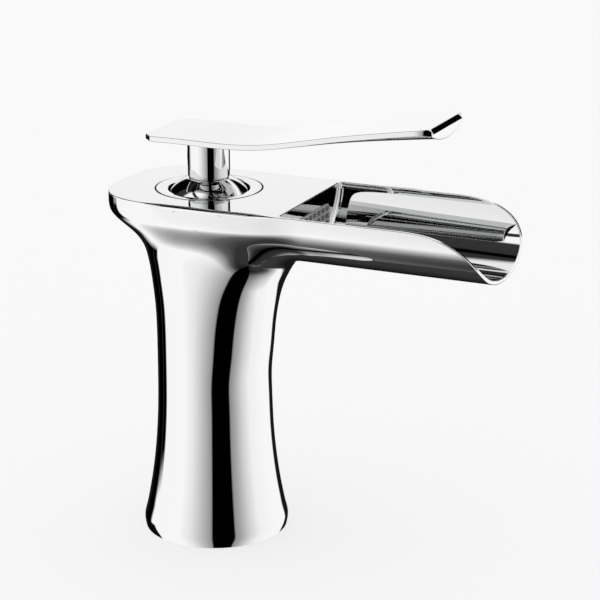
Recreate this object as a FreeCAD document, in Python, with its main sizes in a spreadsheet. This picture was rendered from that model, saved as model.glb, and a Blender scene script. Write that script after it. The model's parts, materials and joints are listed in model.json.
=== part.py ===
"""Single-lever basin tap with an open waterfall spout, in millimetres.

The origin is the middle of the base on the mounting face, +Z points up and +X
points along the spout.  A one-piece casting carries a ceramic-disc cartridge on
a vertical valve axis.  The handle swivels about that axis for temperature and
lifts about a pin in the cartridge collar for flow; the lift also slides the
moving ceramic disc across the fixed one.
"""
import FreeCAD, Part
import Sketcher
import math
import os

V = FreeCAD.Vector

doc = FreeCAD.newDocument("waterfall_basin_tap")
sheet = doc.addObject("Spreadsheet::Sheet", "Sizes")

DRIVING_SIZES = (
    # casting
    ("deck_height", 120.5, "mounting face to the flat deck"),
    ("base_radius", 25.0, "widest part of the foot"),
    ("base_widest_height", 3.5, "height of the widest part of the foot"),
    ("base_rim_rounding", 0.9, "how far the foot tucks in at the mounting face"),
    ("waist_radius", 19.6, "narrowest part of the column"),
    ("waist_height", 57.0, "height of the narrowest part"),
    ("deck_rear_reach", 33.2, "column axis to the rear edge of the deck"),
    ("deck_half_width", 27.9, "half of the widest part of the deck"),
    ("deck_front_reach", 60.0, "how far forward the deck blends into the spout"),
    ("spout_half_width", 26.4, "half of the spout's width"),
    ("spout_depth", 20.1, "deck down to the underside of the spout"),
    ("spout_wall", 1.4, "wall of the trough"),
    ("spout_reach", 103.6, "column axis to the tip of the lip"),
    ("mouth_run", 27.0, "how far back from the tip the lip starts to fall"),
    ("trough_start", 35.6, "column axis to the end wall of the trough"),
    # base cavity and water ways
    ("cavity_radius", 16.5, "open cavity inside the column"),
    ("cavity_step", 60.0, "mounting face to the narrow end of the cavity"),
    ("cavity_top_radius", 15.3, "narrow end of the cavity, round the bosses"),
    ("cavity_height", 72.0, "mounting face to the cavity's ceiling"),
    ("gasket_inner_radius", 18.6, "inside of the base gasket"),
    ("gasket_width", 3.2, "width of the base gasket"),
    ("gasket_thickness", 1.8, "thickness of the base gasket"),
    ("inlet_radius", 5.0, "threaded hose inlets"),
    ("inlet_depth", 10.0, "length of the threaded inlet bosses"),
    ("boss_wall", 1.3, "wall of the inlet bosses round the thread"),
    ("inlet_spacing", 13.0, "centre distance of the two inlets"),
    ("inlet_setback", 2.5, "inlets behind the valve axis"),
    ("port_radius", 2.6, "drilled ports into the valve chamber"),
    ("stud_radius", 4.0, "threaded hole for the fixing stud"),
    ("stud_depth", 12.0, "length of the threaded stud boss"),
    ("stud_boss_wall", 2.0, "wall of the stud boss round the thread"),
    ("stud_offset", 9.0, "column axis to the stud hole"),
    ("passage_radius", 3.5, "mixed-water passage"),
    ("passage_low_x", 9.0, "column axis to the passage's lower end, in the gallery"),
    ("passage_low_depth", 31.0, "deck down to the passage's lower end"),
    ("passage_high_x", 30.0, "column axis to the passage's upper end, in the water chest"),
    ("passage_high_depth", 14.0, "deck down to the passage's upper end"),
    # valve chamber, downwards from the deck
    ("valve_setback", 1.4, "valve axis behind the column axis"),
    ("chamber_radius", 12.65, "bore for the cartridge"),
    ("chamber_depth", 32.5, "deck down to the chamber floor"),
    ("gallery_radius", 13.6, "mixed-water gallery round the cartridge base"),
    ("gallery_height", 4.0, "height of the gallery"),
    ("nut_seat_depth", 21.5, "deck down to the cartridge shoulder"),
    ("nut_radius", 15.0, "outside of the retaining nut"),
    ("nut_height", 6.0, "height of the retaining nut"),
    ("nut_notch_width", 3.2, "spanner notches across the top of the nut"),
    ("nut_notch_depth", 2.2, "depth of the spanner notches"),
    ("socket_radius", 17.6, "round socket in which the dome swings"),
    ("socket_depth", 16.0, "deck down to the floor of the socket"),
    ("ring_radius", 17.9, "outside of the trim ring"),
    ("ring_flange", 1.6, "thickness of the trim ring's flange"),
    ("ring_skirt", 3.5, "length of the trim ring's threaded skirt"),
    ("ring_groove", 0.3, "gap between trim ring and deck"),
    # handle
    ("pivot_depth", 12.0, "deck down to the lift axis"),
    ("dome_radius", 17.3, "outside of the dome, a ball about the lift axis"),
    ("dome_wall", 1.2, "wall of the dome"),
    ("dome_rim_angle", 15.0, "latitude of the dome's lower rim"),
    ("dome_clearance", 0.8, "gap between the dome and the trim ring"),
    ("stem_radius", 7.1, "handle stem"),
    ("stem_height", 17.4, "deck up to the underside of the lever"),
    ("spigot_radius", 5.9, "spigot under the stem"),
    ("spigot_length", 4.2, "length of the spigot"),
    ("clip_thickness", 1.0, "spring clip under the dome"),
    ("lever_rear_reach", 15.4, "valve axis to the rear edge of the lever"),
    ("lever_front_reach", 83.6, "valve axis to the tip of the lever"),
    ("lever_half_width", 14.6, "half of the lever's width at its rear edge"),
    ("lever_widening", 0.9, "how much wider each side is at the tip"),
    ("lever_thickness", 1.8, "side face of the lever"),
    ("lever_rise", 11.4, "how much higher the tip lies than the rear edge"),
    ("lever_sag", 2.6, "belly of the underside at the tip"),
    ("lever_tip_bevel", 1.5, "bevel across the tip"),
    ("screw_radius", 2.4, "grub screw that clamps the handle"),
    ("screw_length", 2.6, "length of the grub screw"),
    ("screw_height", 10.5, "deck up to the grub screw"),
    ("plug_thickness", 1.0, "index plug over the grub screw"),
    # cartridge
    ("housing_radius", 12.5, "cartridge housing"),
    ("housing_wall", 1.2, "wall of the housing"),
    ("neck_radius", 11.2, "upper part of the housing"),
    ("neck_wall", 1.0, "wall of the neck"),
    ("neck_top_depth", 8.0, "deck down to the top of the housing"),
    ("collar_radius", 8.1, "turning collar in the neck"),
    ("collar_flange_radius", 10.1, "flange of the turning collar"),
    ("collar_flange", 2.0, "thickness of the collar's flange"),
    ("slot_length", 12.0, "slot through the collar"),
    ("base_foot", 0.4, "cartridge base above the chamber floor"),
    ("base_thickness", 4.1, "thickness of the cartridge base"),
    ("outlet_offset", 5.0, "valve axis to the mixed-water port of the discs"),
    ("disc_thickness", 3.0, "each ceramic disc"),
    ("moving_disc_radius", 7.4, "moving ceramic disc and its carrier"),
    ("carrier_thickness", 4.4, "disc carrier"),
    ("carrier_setback", 1.0, "carrier centre behind the ball at rest"),
    ("spindle_width", 5.6, "spindle, across the lift plane"),
    ("spindle_length_along", 6.4, "spindle, along the lift plane"),
    ("spindle_top", 13.5, "deck up to the top of the spindle"),
    ("ball_radius", 2.5, "ball end of the spindle"),
    ("ball_arm", 6.5, "lift axis down to the ball's centre"),
    ("pin_radius", 1.2, "pivot pin"),
    ("pin_length", 15.4, "length of the pivot pin"),
    ("oring_thickness", 1.3, "seal round the housing"),
    # outlet grille
    ("window_width", 32.0, "width of the outlet window"),
    ("window_height", 8.4, "height of the outlet window"),
    ("window_drop", 9.2, "deck down to the middle of the window"),
    ("window_corner", 2.4, "corner radius of the window"),
    ("grille_depth", 4.0, "grille from front to back"),
    ("grille_proud", 0.3, "how far the grille stands out of the end wall"),
    ("grille_pitch_across", 3.4, "cell pitch across the grille"),
    ("grille_pitch_up", 2.5, "cell pitch up the grille"),
    ("grille_bar", 0.7, "bars of the grille"),
    ("grille_seal", 0.8, "rubber frame behind the grille"),
    ("plenum_start", 23.0, "column axis to the rear of the water chest"),
    ("plenum_lip", 1.4, "ledge round the water chest that the seal lies on"),
    # fits
    ("running_fit", 0.06, "radial clearance of parts that turn or slide"),
    ("seat_fit", 0.1, "clearance of parts that are fitted once"),
)
GRILLE_COLUMNS = 9
GRILLE_ROWS = 3

for row, (alias, value, note) in enumerate(DRIVING_SIZES, 1):
    sheet.set("A%d" % row, note)
    sheet.set("B%d" % row, str(value))
    sheet.setAlias("B%d" % row, alias)
doc.recompute()

parts = {}


def number(expression):
    """Value of an expression over the sheet's aliases."""
    return float(sheet.evalExpression(expression))


def bind(item, **expressions):
    """Tie properties of a document object to expressions over the sheet."""
    for name, expression in expressions.items():
        path = {"x": "Placement.Base.x", "y": "Placement.Base.y", "z": "Placement.Base.z"}.get(name, name)
        item.setExpression(path, expression)
    return item


def cylinder(name, radius, height, x="0", y="0", z="0", axis=None):
    """Solid cylinder; axis turns it from +Z to another direction."""
    item = doc.addObject("Part::Cylinder", name)
    if axis is not None:
        item.Placement = FreeCAD.Placement(V(), FreeCAD.Rotation(V(0, 0, 1), axis))
    return bind(item, Radius=radius, Height=height, x=x, y=y, z=z)


def block(name, length, width, height, x, y, z):
    """Rectangular block; x, y and z place its low corner."""
    item = doc.addObject("Part::Box", name)
    return bind(item, Length=length, Width=width, Height=height, x=x, y=y, z=z)


def ball(name, radius, z, low_angle=None):
    """Ball on the valve axis, or the cap of it above a latitude."""
    item = doc.addObject("Part::Sphere", name)
    if low_angle is not None:
        bind(item, Angle1=low_angle)
    return bind(item, Radius=radius, x="-Sizes.valve_setback", z=z)


def shaped(name, shape):
    """Document object for a shape made by a formula."""
    item = doc.addObject("Part::Feature", name)
    item.Shape = shape
    return item


def union(name, items):
    """Several solids as one."""
    item = doc.addObject("Part::MultiFuse", name)
    item.Shapes = items
    return item


def cut(name, base, tools):
    """Base less the tools."""
    item = doc.addObject("Part::Cut", name)
    item.Base = base
    item.Tool = tools[0] if len(tools) == 1 else union(name + "_tools", tools)
    return item


def common(name, first, second):
    """What two solids share."""
    item = doc.addObject("Part::Common", name)
    item.Base = first
    item.Tool = second
    return item


def piece(label, item):
    """Register a finished sub-part under its own label."""
    item.Label = label
    parts[label] = item
    return item


def turned(label, corners, x="-Sizes.valve_setback"):
    """Turned body: corners are (radius, height) expressions of a closed profile."""
    body = doc.addObject("PartDesign::Body", label + "_body")
    sketch = body.newObject("Sketcher::SketchObject", label + "_profile")
    plane = [f for f in body.Origin.OriginFeatures if f.Role == "XZ_Plane"][0]
    sketch.AttachmentSupport = [(plane, "")]
    sketch.MapMode = "FlatFace"
    points = [V(number(r), number(h), 0) for r, h in corners]
    for start, end in zip(points, points[1:] + points[:1]):
        sketch.addGeometry(Part.LineSegment(start, end), False)
    count = len(points)
    for i in range(count):
        sketch.addConstraint(Sketcher.Constraint("Coincident", i, 2, (i + 1) % count, 1))
    for i, (radius, height) in enumerate(corners):
        k = sketch.addConstraint(Sketcher.Constraint("DistanceX", -1, 1, i, 1, points[i].x))
        sketch.setExpression("Constraints[%d]" % k, radius)
        k = sketch.addConstraint(Sketcher.Constraint("DistanceY", -1, 1, i, 1, points[i].y))
        sketch.setExpression("Constraints[%d]" % k, height)
    revolution = body.newObject("PartDesign::Revolution", label + "_turning")
    revolution.Profile = sketch
    revolution.ReferenceAxis = (sketch, ["V_Axis"])
    revolution.Angle = 360.0
    return bind(body, x=x)


def ring_corners(inner, outer, low, high):
    """Rectangular profile of a plain ring."""
    return [(inner, low), (outer, low), (outer, high), (inner, high)]


DECK = "Sizes.deck_height"
AXIS_X = "-Sizes.valve_setback"
PIVOT = "(Sizes.deck_height - Sizes.pivot_depth)"
CHAMBER_FLOOR = "(Sizes.deck_height - Sizes.chamber_depth)"
NUT_SEAT = "(Sizes.deck_height - Sizes.nut_seat_depth)"
NECK_TOP = "(Sizes.deck_height - Sizes.neck_top_depth)"
BASE_LOW = "(%s + Sizes.base_foot)" % CHAMBER_FLOOR
BASE_TOP = "(%s + Sizes.base_thickness)" % BASE_LOW
FIXED_TOP = "(%s + Sizes.disc_thickness)" % BASE_TOP
MOVING_TOP = "(%s + Sizes.disc_thickness)" % FIXED_TOP
CARRIER_TOP = "(%s + Sizes.carrier_thickness)" % MOVING_TOP
COLLAR_LOW = "(%s + 0.6)" % CARRIER_TOP
COLLAR_STEP = "(%s + Sizes.collar_flange)" % COLLAR_LOW
INLET_X = "-Sizes.valve_setback - Sizes.inlet_setback"
ABOVE_DECK = 4.0

# ---------------------------------------------------------------- casting skin
# Upper column: depth below the deck, how much of the flare to the deck outline
# is reached, and how much of the reach into the spout.
UPPER_STATIONS = (
    (0.0, 1.000, 1.000),
    (4.6, 1.000, 0.975),
    (6.6, 0.958, 0.930),
    (8.7, 0.844, 0.880),
    (12.9, 0.542, 0.755),
    (16.8, 0.330, 0.585),
    (20.0, 0.230, 0.435),
    (21.8, 0.196, 0.345),
    (24.2, 0.160, 0.262),
    (27.2, 0.125, 0.190),
    (30.5, 0.095, 0.138),
    (34.5, 0.064, 0.099),
    (39.0, 0.034, 0.072),
    (46.6, 0.008, 0.042),
    (55.2, 0.000, 0.021),
)
# Lower column: the same heights as shares of the way from waist to foot.
LOWER_SHARES = (0.17, 0.36, 0.55, 0.69, 0.80, 0.88, 0.945)
FOOT_FLARE_POWER = 2.4
OUTLINE_POINTS = 32


def section(height, rear, front, half_width, power):
    """Closed smooth outline at one height: two superellipse halves."""
    points = []
    for i in range(OUTLINE_POINTS):
        angle = math.pi + 2 * math.pi * i / OUTLINE_POINTS
        along = math.cos(angle)
        across = math.sin(angle)
        reach = front if along > 0 else rear
        x = reach * math.copysign(abs(along) ** (2 / power), along)
        y = half_width * math.copysign(abs(across) ** (2 / power), across)
        points.append(V(x, y, height))
    curve = Part.BSplineCurve()
    curve.interpolate(Points=points, PeriodicFlag=True)
    return Part.Wire([curve.toShape()])


def column_skin():
    """Column from the foot to above the deck as one loft."""
    deck = number(DECK)
    waist = number("Sizes.waist_radius")
    foot = number("Sizes.base_radius")
    foot_height = number("Sizes.base_widest_height")
    waist_height = number("Sizes.waist_height")
    rim = foot - number("Sizes.base_rim_rounding")
    rear = number("Sizes.deck_rear_reach")
    front = number("Sizes.deck_front_reach")
    half_width = number("Sizes.deck_half_width")
    rounds = [(0.0, rim), (foot_height * 0.4, foot - 0.25 * (foot - rim)), (foot_height, foot)]
    for share in reversed(LOWER_SHARES):
        height = waist_height - share * (waist_height - foot_height)
        rounds.append((height, waist + (foot - waist) * share ** FOOT_FLARE_POWER))
    rounds.append((waist_height, waist))
    sections = [section(z, r, r, r, 2.0) for z, r in rounds]
    for depth, flare, run in reversed(UPPER_STATIONS):
        back = waist + (rear - waist) * flare
        side = waist + (half_width - waist) * flare
        ahead = waist + (front - waist) * run
        sections.append(section(deck - depth, back, ahead, side, 2.0 + flare))
    sections.append(section(deck + ABOVE_DECK, rear, front, half_width, 3.0))
    return Part.makeLoft(sections, True, False)


def trough(half_width, depth, start, end):
    """Half-elliptical bar along +X, open straight up past the deck."""
    deck = number(DECK)
    lower = Part.Arc(Part.Ellipse(V(), half_width, depth), math.pi, 2 * math.pi).toShape()
    right = Part.makeLine(V(half_width, 0, 0), V(half_width, ABOVE_DECK, 0))
    top = Part.makeLine(V(half_width, ABOVE_DECK, 0), V(-half_width, ABOVE_DECK, 0))
    left = Part.makeLine(V(-half_width, ABOVE_DECK, 0), V(-half_width, 0, 0))
    face = Part.Face(Part.Wire([lower, right, top, left]))
    turn = FreeCAD.Rotation(V(0, 1, 0), V(0, 0, 1), V(1, 0, 0), "ZXY")
    face.Placement = FreeCAD.Placement(V(start, 0, deck), turn)
    return face.extrude(V(end - start, 0, 0))


def mouth_cutter():
    """What is cut off the end of the spout: all that lies beyond a quarter ellipse."""
    deck = number(DECK)
    tip = number("Sizes.spout_reach")
    run = number("Sizes.mouth_run")
    depth = number("Sizes.spout_depth")
    wide = number("Sizes.spout_half_width") + 5
    beyond = 20.0
    ellipse = Part.Ellipse(V(), run, depth)
    lip = Part.Arc(ellipse, 0, math.pi / 2).toShape()
    corners = [
        V(0, depth, 0),
        V(0, depth + 2 * ABOVE_DECK, 0),
        V(run + beyond, depth + 2 * ABOVE_DECK, 0),
        V(run + beyond, -beyond, 0),
        V(run, -beyond, 0),
        V(run, 0, 0),
    ]
    sides = [Part.makeLine(a, b) for a, b in zip(corners, corners[1:])]
    face = Part.Face(Part.Wire(Part.__sortEdges__([lip] + sides)))
    turn = FreeCAD.Rotation(V(1, 0, 0), V(0, 0, 1), V(0, -1, 0), "ZXY")
    face.Placement = FreeCAD.Placement(V(tip - run, wide, deck - depth), turn)
    return face.extrude(V(0, -2 * wide, 0))


def rounded_bar(name, width, height, corner, start, end):
    """Rounded rectangle in the YZ plane, drawn out along +X, centred on the window."""
    w = number(width) / 2
    t = number(height) / 2
    c = number(corner)
    middle = number(DECK + " - Sizes.window_drop")
    plate = Part.makeBox(2 * w, 2 * t, number(end) - number(start), V(-w, -t, 0))
    edges = [e for e in plate.Edges if abs(e.tangentAt(e.FirstParameter).z) > 0.9]
    plate = plate.makeFillet(c, edges)
    turn = FreeCAD.Rotation(V(0, 1, 0), V(0, 0, 1), V(1, 0, 0), "ZXY")
    plate.Placement = FreeCAD.Placement(V(number(start), 0, middle), turn)
    return shaped(name, plate)


def make_casting():
    """Column, head and spout of the body, cut from one smooth form, with cavities and seats."""
    deck = number(DECK)
    wall = number("Sizes.spout_wall")
    half_width = number("Sizes.spout_half_width")
    depth = number("Sizes.spout_depth")
    reach = number("Sizes.spout_reach")
    start = number("Sizes.trough_start")
    skin = shaped("column_skin", column_skin())
    spout = shaped("spout_skin", trough(half_width, depth, 8.0, reach + 5))
    solid = union("casting_blank", [skin, spout])
    above = block("above_deck", "200", "200", "50", "-100", "-100", DECK)
    channel = shaped("channel", trough(half_width - wall, depth - wall, start, reach + 10))
    mouth = shaped("mouth", mouth_cutter())
    outside = cut("casting_outside", solid, [above, channel, mouth])

    passage = doc.addObject("Part::Cylinder", "mixed_passage")
    low = V(number("Sizes.passage_low_x"), 0, deck - number("Sizes.passage_low_depth"))
    high = V(number("Sizes.passage_high_x"), 0, deck - number("Sizes.passage_high_depth"))
    passage.Placement = FreeCAD.Placement(low, FreeCAD.Rotation(V(0, 0, 1), high - low))
    passage.Height = (high - low).Length
    bind(passage, Radius="Sizes.passage_radius")
    pocket_back = "(Sizes.trough_start + Sizes.grille_proud - Sizes.grille_depth - Sizes.grille_seal)"
    tools = [
        cylinder("base_cavity", "Sizes.cavity_radius", "Sizes.cavity_step + 1", z="-1"),
        cylinder("cavity_top", "Sizes.cavity_top_radius", "Sizes.cavity_height"),
        cylinder("chamber", "Sizes.chamber_radius", "Sizes.chamber_depth", AXIS_X, "0", CHAMBER_FLOOR),
        cylinder("gallery", "Sizes.gallery_radius", "Sizes.gallery_height", AXIS_X, "0", CHAMBER_FLOOR),
        cylinder("nut_bore", "Sizes.nut_radius + Sizes.running_fit", "Sizes.nut_seat_depth + 1",
                 AXIS_X, "0", NUT_SEAT + " - 1"),
        cylinder("dome_socket", "Sizes.socket_radius", "Sizes.socket_depth + 1",
                 AXIS_X, "0", DECK + " - Sizes.socket_depth"),
        cylinder("ring_recess", "Sizes.ring_radius + Sizes.ring_groove", "Sizes.ring_flange + 1",
                 AXIS_X, "0", DECK + " - Sizes.ring_flange"),
        passage,
        rounded_bar("water_chest", "Sizes.window_width - 2 * Sizes.plenum_lip",
                    "Sizes.window_height - 2 * Sizes.plenum_lip", "Sizes.window_corner - Sizes.plenum_lip / 2",
                    "Sizes.plenum_start", "Sizes.trough_start"),
        rounded_bar("window_pocket", "Sizes.window_width", "Sizes.window_height", "Sizes.window_corner",
                    pocket_back, "Sizes.trough_start + 1"),
    ]
    for side, name in ((1, "hot"), (-1, "cold")):
        y = "%d * Sizes.inlet_spacing / 2" % side
        tools.append(cylinder(name + "_port", "Sizes.port_radius", CHAMBER_FLOOR + " - Sizes.cavity_height + 2",
                              INLET_X, y, "Sizes.cavity_height - 1"))
    groove_outer = "Sizes.gasket_inner_radius + Sizes.gasket_width + Sizes.seat_fit"
    groove_inner = "Sizes.gasket_inner_radius - Sizes.seat_fit"
    groove_blank = cylinder("groove_blank", groove_outer, "Sizes.gasket_thickness + 1", z="-1")
    groove_core = cylinder("groove_core", groove_inner, "Sizes.gasket_thickness + 2", z="-1.5")
    tools.append(cut("gasket_groove", groove_blank, [groove_core]))
    casting = cut("casting", outside, tools)
    lower = block("column_space", "200", "200", "Sizes.cavity_height + 50", "-100", "-100", "-50")
    head = block("head_space", "Sizes.trough_start + 100", "200", "100", "-100", "-100", "Sizes.cavity_height")
    front = block("spout_space", "200", "200", "100", "Sizes.trough_start", "-100", "Sizes.cavity_height")
    piece("column_shell", common("column_part", casting, lower))
    piece("body_casting", common("head_part", casting, head))
    piece("spout_trough", common("spout_part", casting, front))


def make_boss(label, radius, wall, length, x, y):
    """Threaded boss under the ceiling of the column's cavity."""
    foot = "(Sizes.cavity_height - %s)" % length
    outer = cylinder(label + "_outside", "%s + %s" % (radius, wall), length, x, y, foot)
    inner = cylinder(label + "_thread", radius, length + " + 2", x, y, foot + " - 1")
    piece(label, cut(label + "_tube", outer, [inner]))


def make_bosses():
    """Inlet bosses for the two supply hoses and the boss for the fixing stud."""
    for side, name in ((1, "hot"), (-1, "cold")):
        make_boss(name + "_inlet_boss", "Sizes.inlet_radius", "Sizes.boss_wall", "Sizes.inlet_depth",
                  INLET_X, "%d * Sizes.inlet_spacing / 2" % side)
    make_boss("stud_boss", "Sizes.stud_radius", "Sizes.stud_boss_wall", "Sizes.stud_depth",
              "Sizes.stud_offset", "0")


def make_base_gasket():
    """Flat rubber ring in the groove of the foot."""
    outer = "Sizes.gasket_inner_radius + Sizes.gasket_width"
    return piece("base_gasket", turned("base_gasket", [
        ("Sizes.gasket_inner_radius", "0.01"),
        (outer, "0.01"),
        (outer, "Sizes.gasket_thickness"),
        ("Sizes.gasket_inner_radius", "Sizes.gasket_thickness"),
    ], x="0"))


def make_grille():
    """Moulded flow straightener in the end wall, and the rubber frame behind it."""
    front = "Sizes.trough_start + Sizes.grille_proud"
    back = "(%s - Sizes.grille_depth)" % front
    plate = rounded_bar("grille_plate", "Sizes.window_width - 2 * Sizes.seat_fit",
                        "Sizes.window_height - 2 * Sizes.seat_fit", "Sizes.window_corner - Sizes.seat_fit",
                        back, front)
    cells = []
    for i in range(GRILLE_COLUMNS):
        for j in range(GRILLE_ROWS):
            across = "%g * Sizes.grille_pitch_across" % (i - GRILLE_COLUMNS / 2)
            up = "%g * Sizes.grille_pitch_up" % (j - GRILLE_ROWS / 2)
            cells.append(block("cell_%d_%d" % (i, j), "Sizes.grille_depth + 2",
                               "Sizes.grille_pitch_across - Sizes.grille_bar",
                               "Sizes.grille_pitch_up - Sizes.grille_bar",
                               back + " - 1", across + " + Sizes.grille_bar / 2",
                               DECK + " - Sizes.window_drop + " + up + " + Sizes.grille_bar / 2"))
    piece("outlet_grille", cut("grille", plate, cells))
    seal_back = "(%s - Sizes.grille_seal)" % back
    frame = rounded_bar("seal_plate", "Sizes.window_width - 2 * Sizes.seat_fit",
                        "Sizes.window_height - 2 * Sizes.seat_fit", "Sizes.window_corner - Sizes.seat_fit",
                        seal_back, back)
    opening = rounded_bar("seal_opening", "Sizes.window_width - 2 * Sizes.plenum_lip",
                          "Sizes.window_height - 2 * Sizes.plenum_lip",
                          "Sizes.window_corner - Sizes.plenum_lip / 2",
                          seal_back + " - 1", back + " + 1")
    piece("outlet_gasket", cut("outlet_seal", frame, [opening]))


def make_housing():
    """Moulded housing of the cartridge, with the groove for its seal."""
    inner = "Sizes.housing_radius - Sizes.housing_wall"
    neck_inner = "Sizes.neck_radius - Sizes.neck_wall"
    groove = "Sizes.housing_radius - 0.7"
    groove_low = "(%s + Sizes.gallery_height + 1.4)" % CHAMBER_FLOOR
    groove_high = "(%s + Sizes.oring_thickness + 0.2)" % groove_low
    low = "(%s - 2.0)" % BASE_TOP
    throat = "Sizes.collar_radius + Sizes.running_fit"
    shelf = "(%s + Sizes.running_fit)" % COLLAR_STEP
    cavity_top = "(%s + Sizes.disc_thickness * 0.8)" % BASE_TOP
    piece("cartridge_housing", turned("cartridge_housing", [
        (inner, low),
        ("Sizes.housing_radius", low),
        ("Sizes.housing_radius", groove_low),
        (groove, groove_low),
        (groove, groove_high),
        ("Sizes.housing_radius", groove_high),
        ("Sizes.housing_radius", NUT_SEAT),
        ("Sizes.neck_radius", NUT_SEAT),
        ("Sizes.neck_radius", NECK_TOP),
        (throat, NECK_TOP),
        (throat, shelf),
        (neck_inner, shelf),
        (neck_inner, FIXED_TOP),
        (inner, FIXED_TOP),
    ]))
    piece("housing_seal", turned("housing_seal", [
        (groove + " + 0.05", groove_low + " + 0.1"),
        ("Sizes.chamber_radius - 0.02", groove_low + " + 0.1"),
        ("Sizes.chamber_radius - 0.02", groove_high + " - 0.1"),
        (groove + " + 0.05", groove_high + " - 0.1"),
    ]))


def make_cartridge_base():
    """Base of the cartridge with its ports, and the seals under it."""
    plug_radius = "Sizes.housing_radius - Sizes.housing_wall - Sizes.seat_fit"
    step = "(%s - 2.0 - 0.02)" % BASE_TOP
    foot = cylinder("base_disc", "Sizes.housing_radius", step + " - " + BASE_LOW, AXIS_X, "0", BASE_LOW)
    plug = cylinder("base_plug", plug_radius, BASE_TOP + " - " + BASE_LOW, AXIS_X, "0", BASE_LOW)
    blank = union("base_blank", [foot, plug])
    outlet_x = "Sizes.outlet_offset - Sizes.valve_setback"
    tools = [
        cylinder("base_outlet", "Sizes.port_radius", "2.5", outlet_x, "0", BASE_TOP + " - 2.4"),
        cylinder("base_side_outlet", "1.1", "20", outlet_x, "0", BASE_TOP + " - 2.9", V(1, 0, 0)),
    ]
    seals = []
    for side, name in ((1, "hot"), (-1, "cold")):
        y = "%d * Sizes.inlet_spacing / 2" % side
        tools.append(cylinder("base_" + name, "Sizes.port_radius", "Sizes.base_thickness + 2",
                              INLET_X, y, BASE_LOW + " - 1"))
        tools.append(cylinder("recess_" + name, "Sizes.port_radius + 1.3", "1.4", INLET_X, y, BASE_LOW + " - 0.5"))
        outer = cylinder("seal_outer_" + name, "Sizes.port_radius + 1.2", "Sizes.base_foot + 0.9 - 0.04",
                         INLET_X, y, CHAMBER_FLOOR + " + 0.02")
        inner = cylinder("seal_inner_" + name, "Sizes.port_radius", "4", INLET_X, y, CHAMBER_FLOOR + " - 1")
        seals.append(cut("port_seal_" + name, outer, [inner]))
    piece("cartridge_base", cut("cartridge_bottom", blank, tools))
    piece("port_seals", union("port_seal_pair", seals))


def make_discs():
    """Fixed and moving ceramic discs."""
    fixed = cylinder("fixed_blank", "Sizes.housing_radius - Sizes.housing_wall - Sizes.seat_fit",
                     "Sizes.disc_thickness - 0.04", AXIS_X, "0", BASE_TOP + " + 0.02")
    ports = [cylinder("fixed_outlet", "Sizes.port_radius", "10", "Sizes.outlet_offset - Sizes.valve_setback",
                      "0", BASE_TOP + " - 2")]
    for side, name in ((1, "hot"), (-1, "cold")):
        ports.append(cylinder("fixed_" + name, "Sizes.port_radius", "10", INLET_X,
                              "%d * Sizes.inlet_spacing / 2" % side, BASE_TOP + " - 2"))
    piece("fixed_disc", cut("fixed_ceramic", fixed, ports))
    centre = "-Sizes.valve_setback - Sizes.carrier_setback"
    moving = cylinder("moving_blank", "Sizes.moving_disc_radius", "Sizes.disc_thickness - 0.04",
                      centre, "0", FIXED_TOP + " + 0.02")
    mixing = cylinder("mixing_pocket", "Sizes.moving_disc_radius - 2.4", "1.5", centre + " + 1.5", "0",
                      FIXED_TOP + " - 0.2")
    piece("moving_disc", cut("moving_ceramic", moving, [mixing]))
    carrier = cylinder("carrier_blank", "Sizes.moving_disc_radius", "Sizes.carrier_thickness",
                       centre, "0", MOVING_TOP)
    socket = cylinder("carrier_socket", "Sizes.ball_radius + 0.1", "10", AXIS_X, "0",
                      PIVOT + " - Sizes.ball_arm - Sizes.ball_radius - 0.3")
    piece("disc_carrier", cut("carrier", carrier, [socket]))


def make_collar():
    """Turning collar with its slot and the pivot pin."""
    sleeve = turned("collar_sleeve", [
        ("1.0", COLLAR_LOW),
        ("Sizes.collar_flange_radius", COLLAR_LOW),
        ("Sizes.collar_flange_radius", COLLAR_STEP),
        ("Sizes.collar_radius", COLLAR_STEP),
        ("Sizes.collar_radius", NECK_TOP + " + 0.5"),
        ("1.0", NECK_TOP + " + 0.5"),
    ])
    slot = block("collar_slot", "Sizes.slot_length", "Sizes.spindle_width + 4 * Sizes.running_fit", "40",
                 "-Sizes.valve_setback - Sizes.slot_length / 2",
                 "-Sizes.spindle_width / 2 - 2 * Sizes.running_fit", COLLAR_LOW + " - 10")
    hole = cylinder("collar_pin_hole", "Sizes.pin_radius + 0.02", "40", AXIS_X, "-20", PIVOT, V(0, 1, 0))
    piece("spindle_collar", cut("collar", sleeve, [slot, hole]))
    piece("spindle_pin", cylinder("pivot_pin", "Sizes.pin_radius", "Sizes.pin_length", AXIS_X,
                                  "-Sizes.pin_length / 2", PIVOT, V(0, 1, 0)))


def make_spindle():
    """Spindle: ball end, turned neck, flat body with the pin hole."""
    shank_low = "(%s - 4.0)" % PIVOT
    shank = block("spindle_shank", "Sizes.spindle_length_along", "Sizes.spindle_width",
                  DECK + " + Sizes.spindle_top - " + shank_low,
                  "-Sizes.valve_setback - Sizes.spindle_length_along / 2", "-Sizes.spindle_width / 2", shank_low)
    neck = cylinder("spindle_neck", "Sizes.ball_radius * 0.62", "4", AXIS_X, "0", PIVOT + " - Sizes.ball_arm")
    end = ball("spindle_ball", "Sizes.ball_radius", PIVOT + " - Sizes.ball_arm")
    blank = union("spindle_blank", [shank, neck, end])
    hole = cylinder("spindle_pin_hole", "Sizes.pin_radius + Sizes.running_fit", "20", AXIS_X, "-10", PIVOT,
                    V(0, 1, 0))
    piece("spindle", cut("spindle_bar", blank, [hole]))


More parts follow.
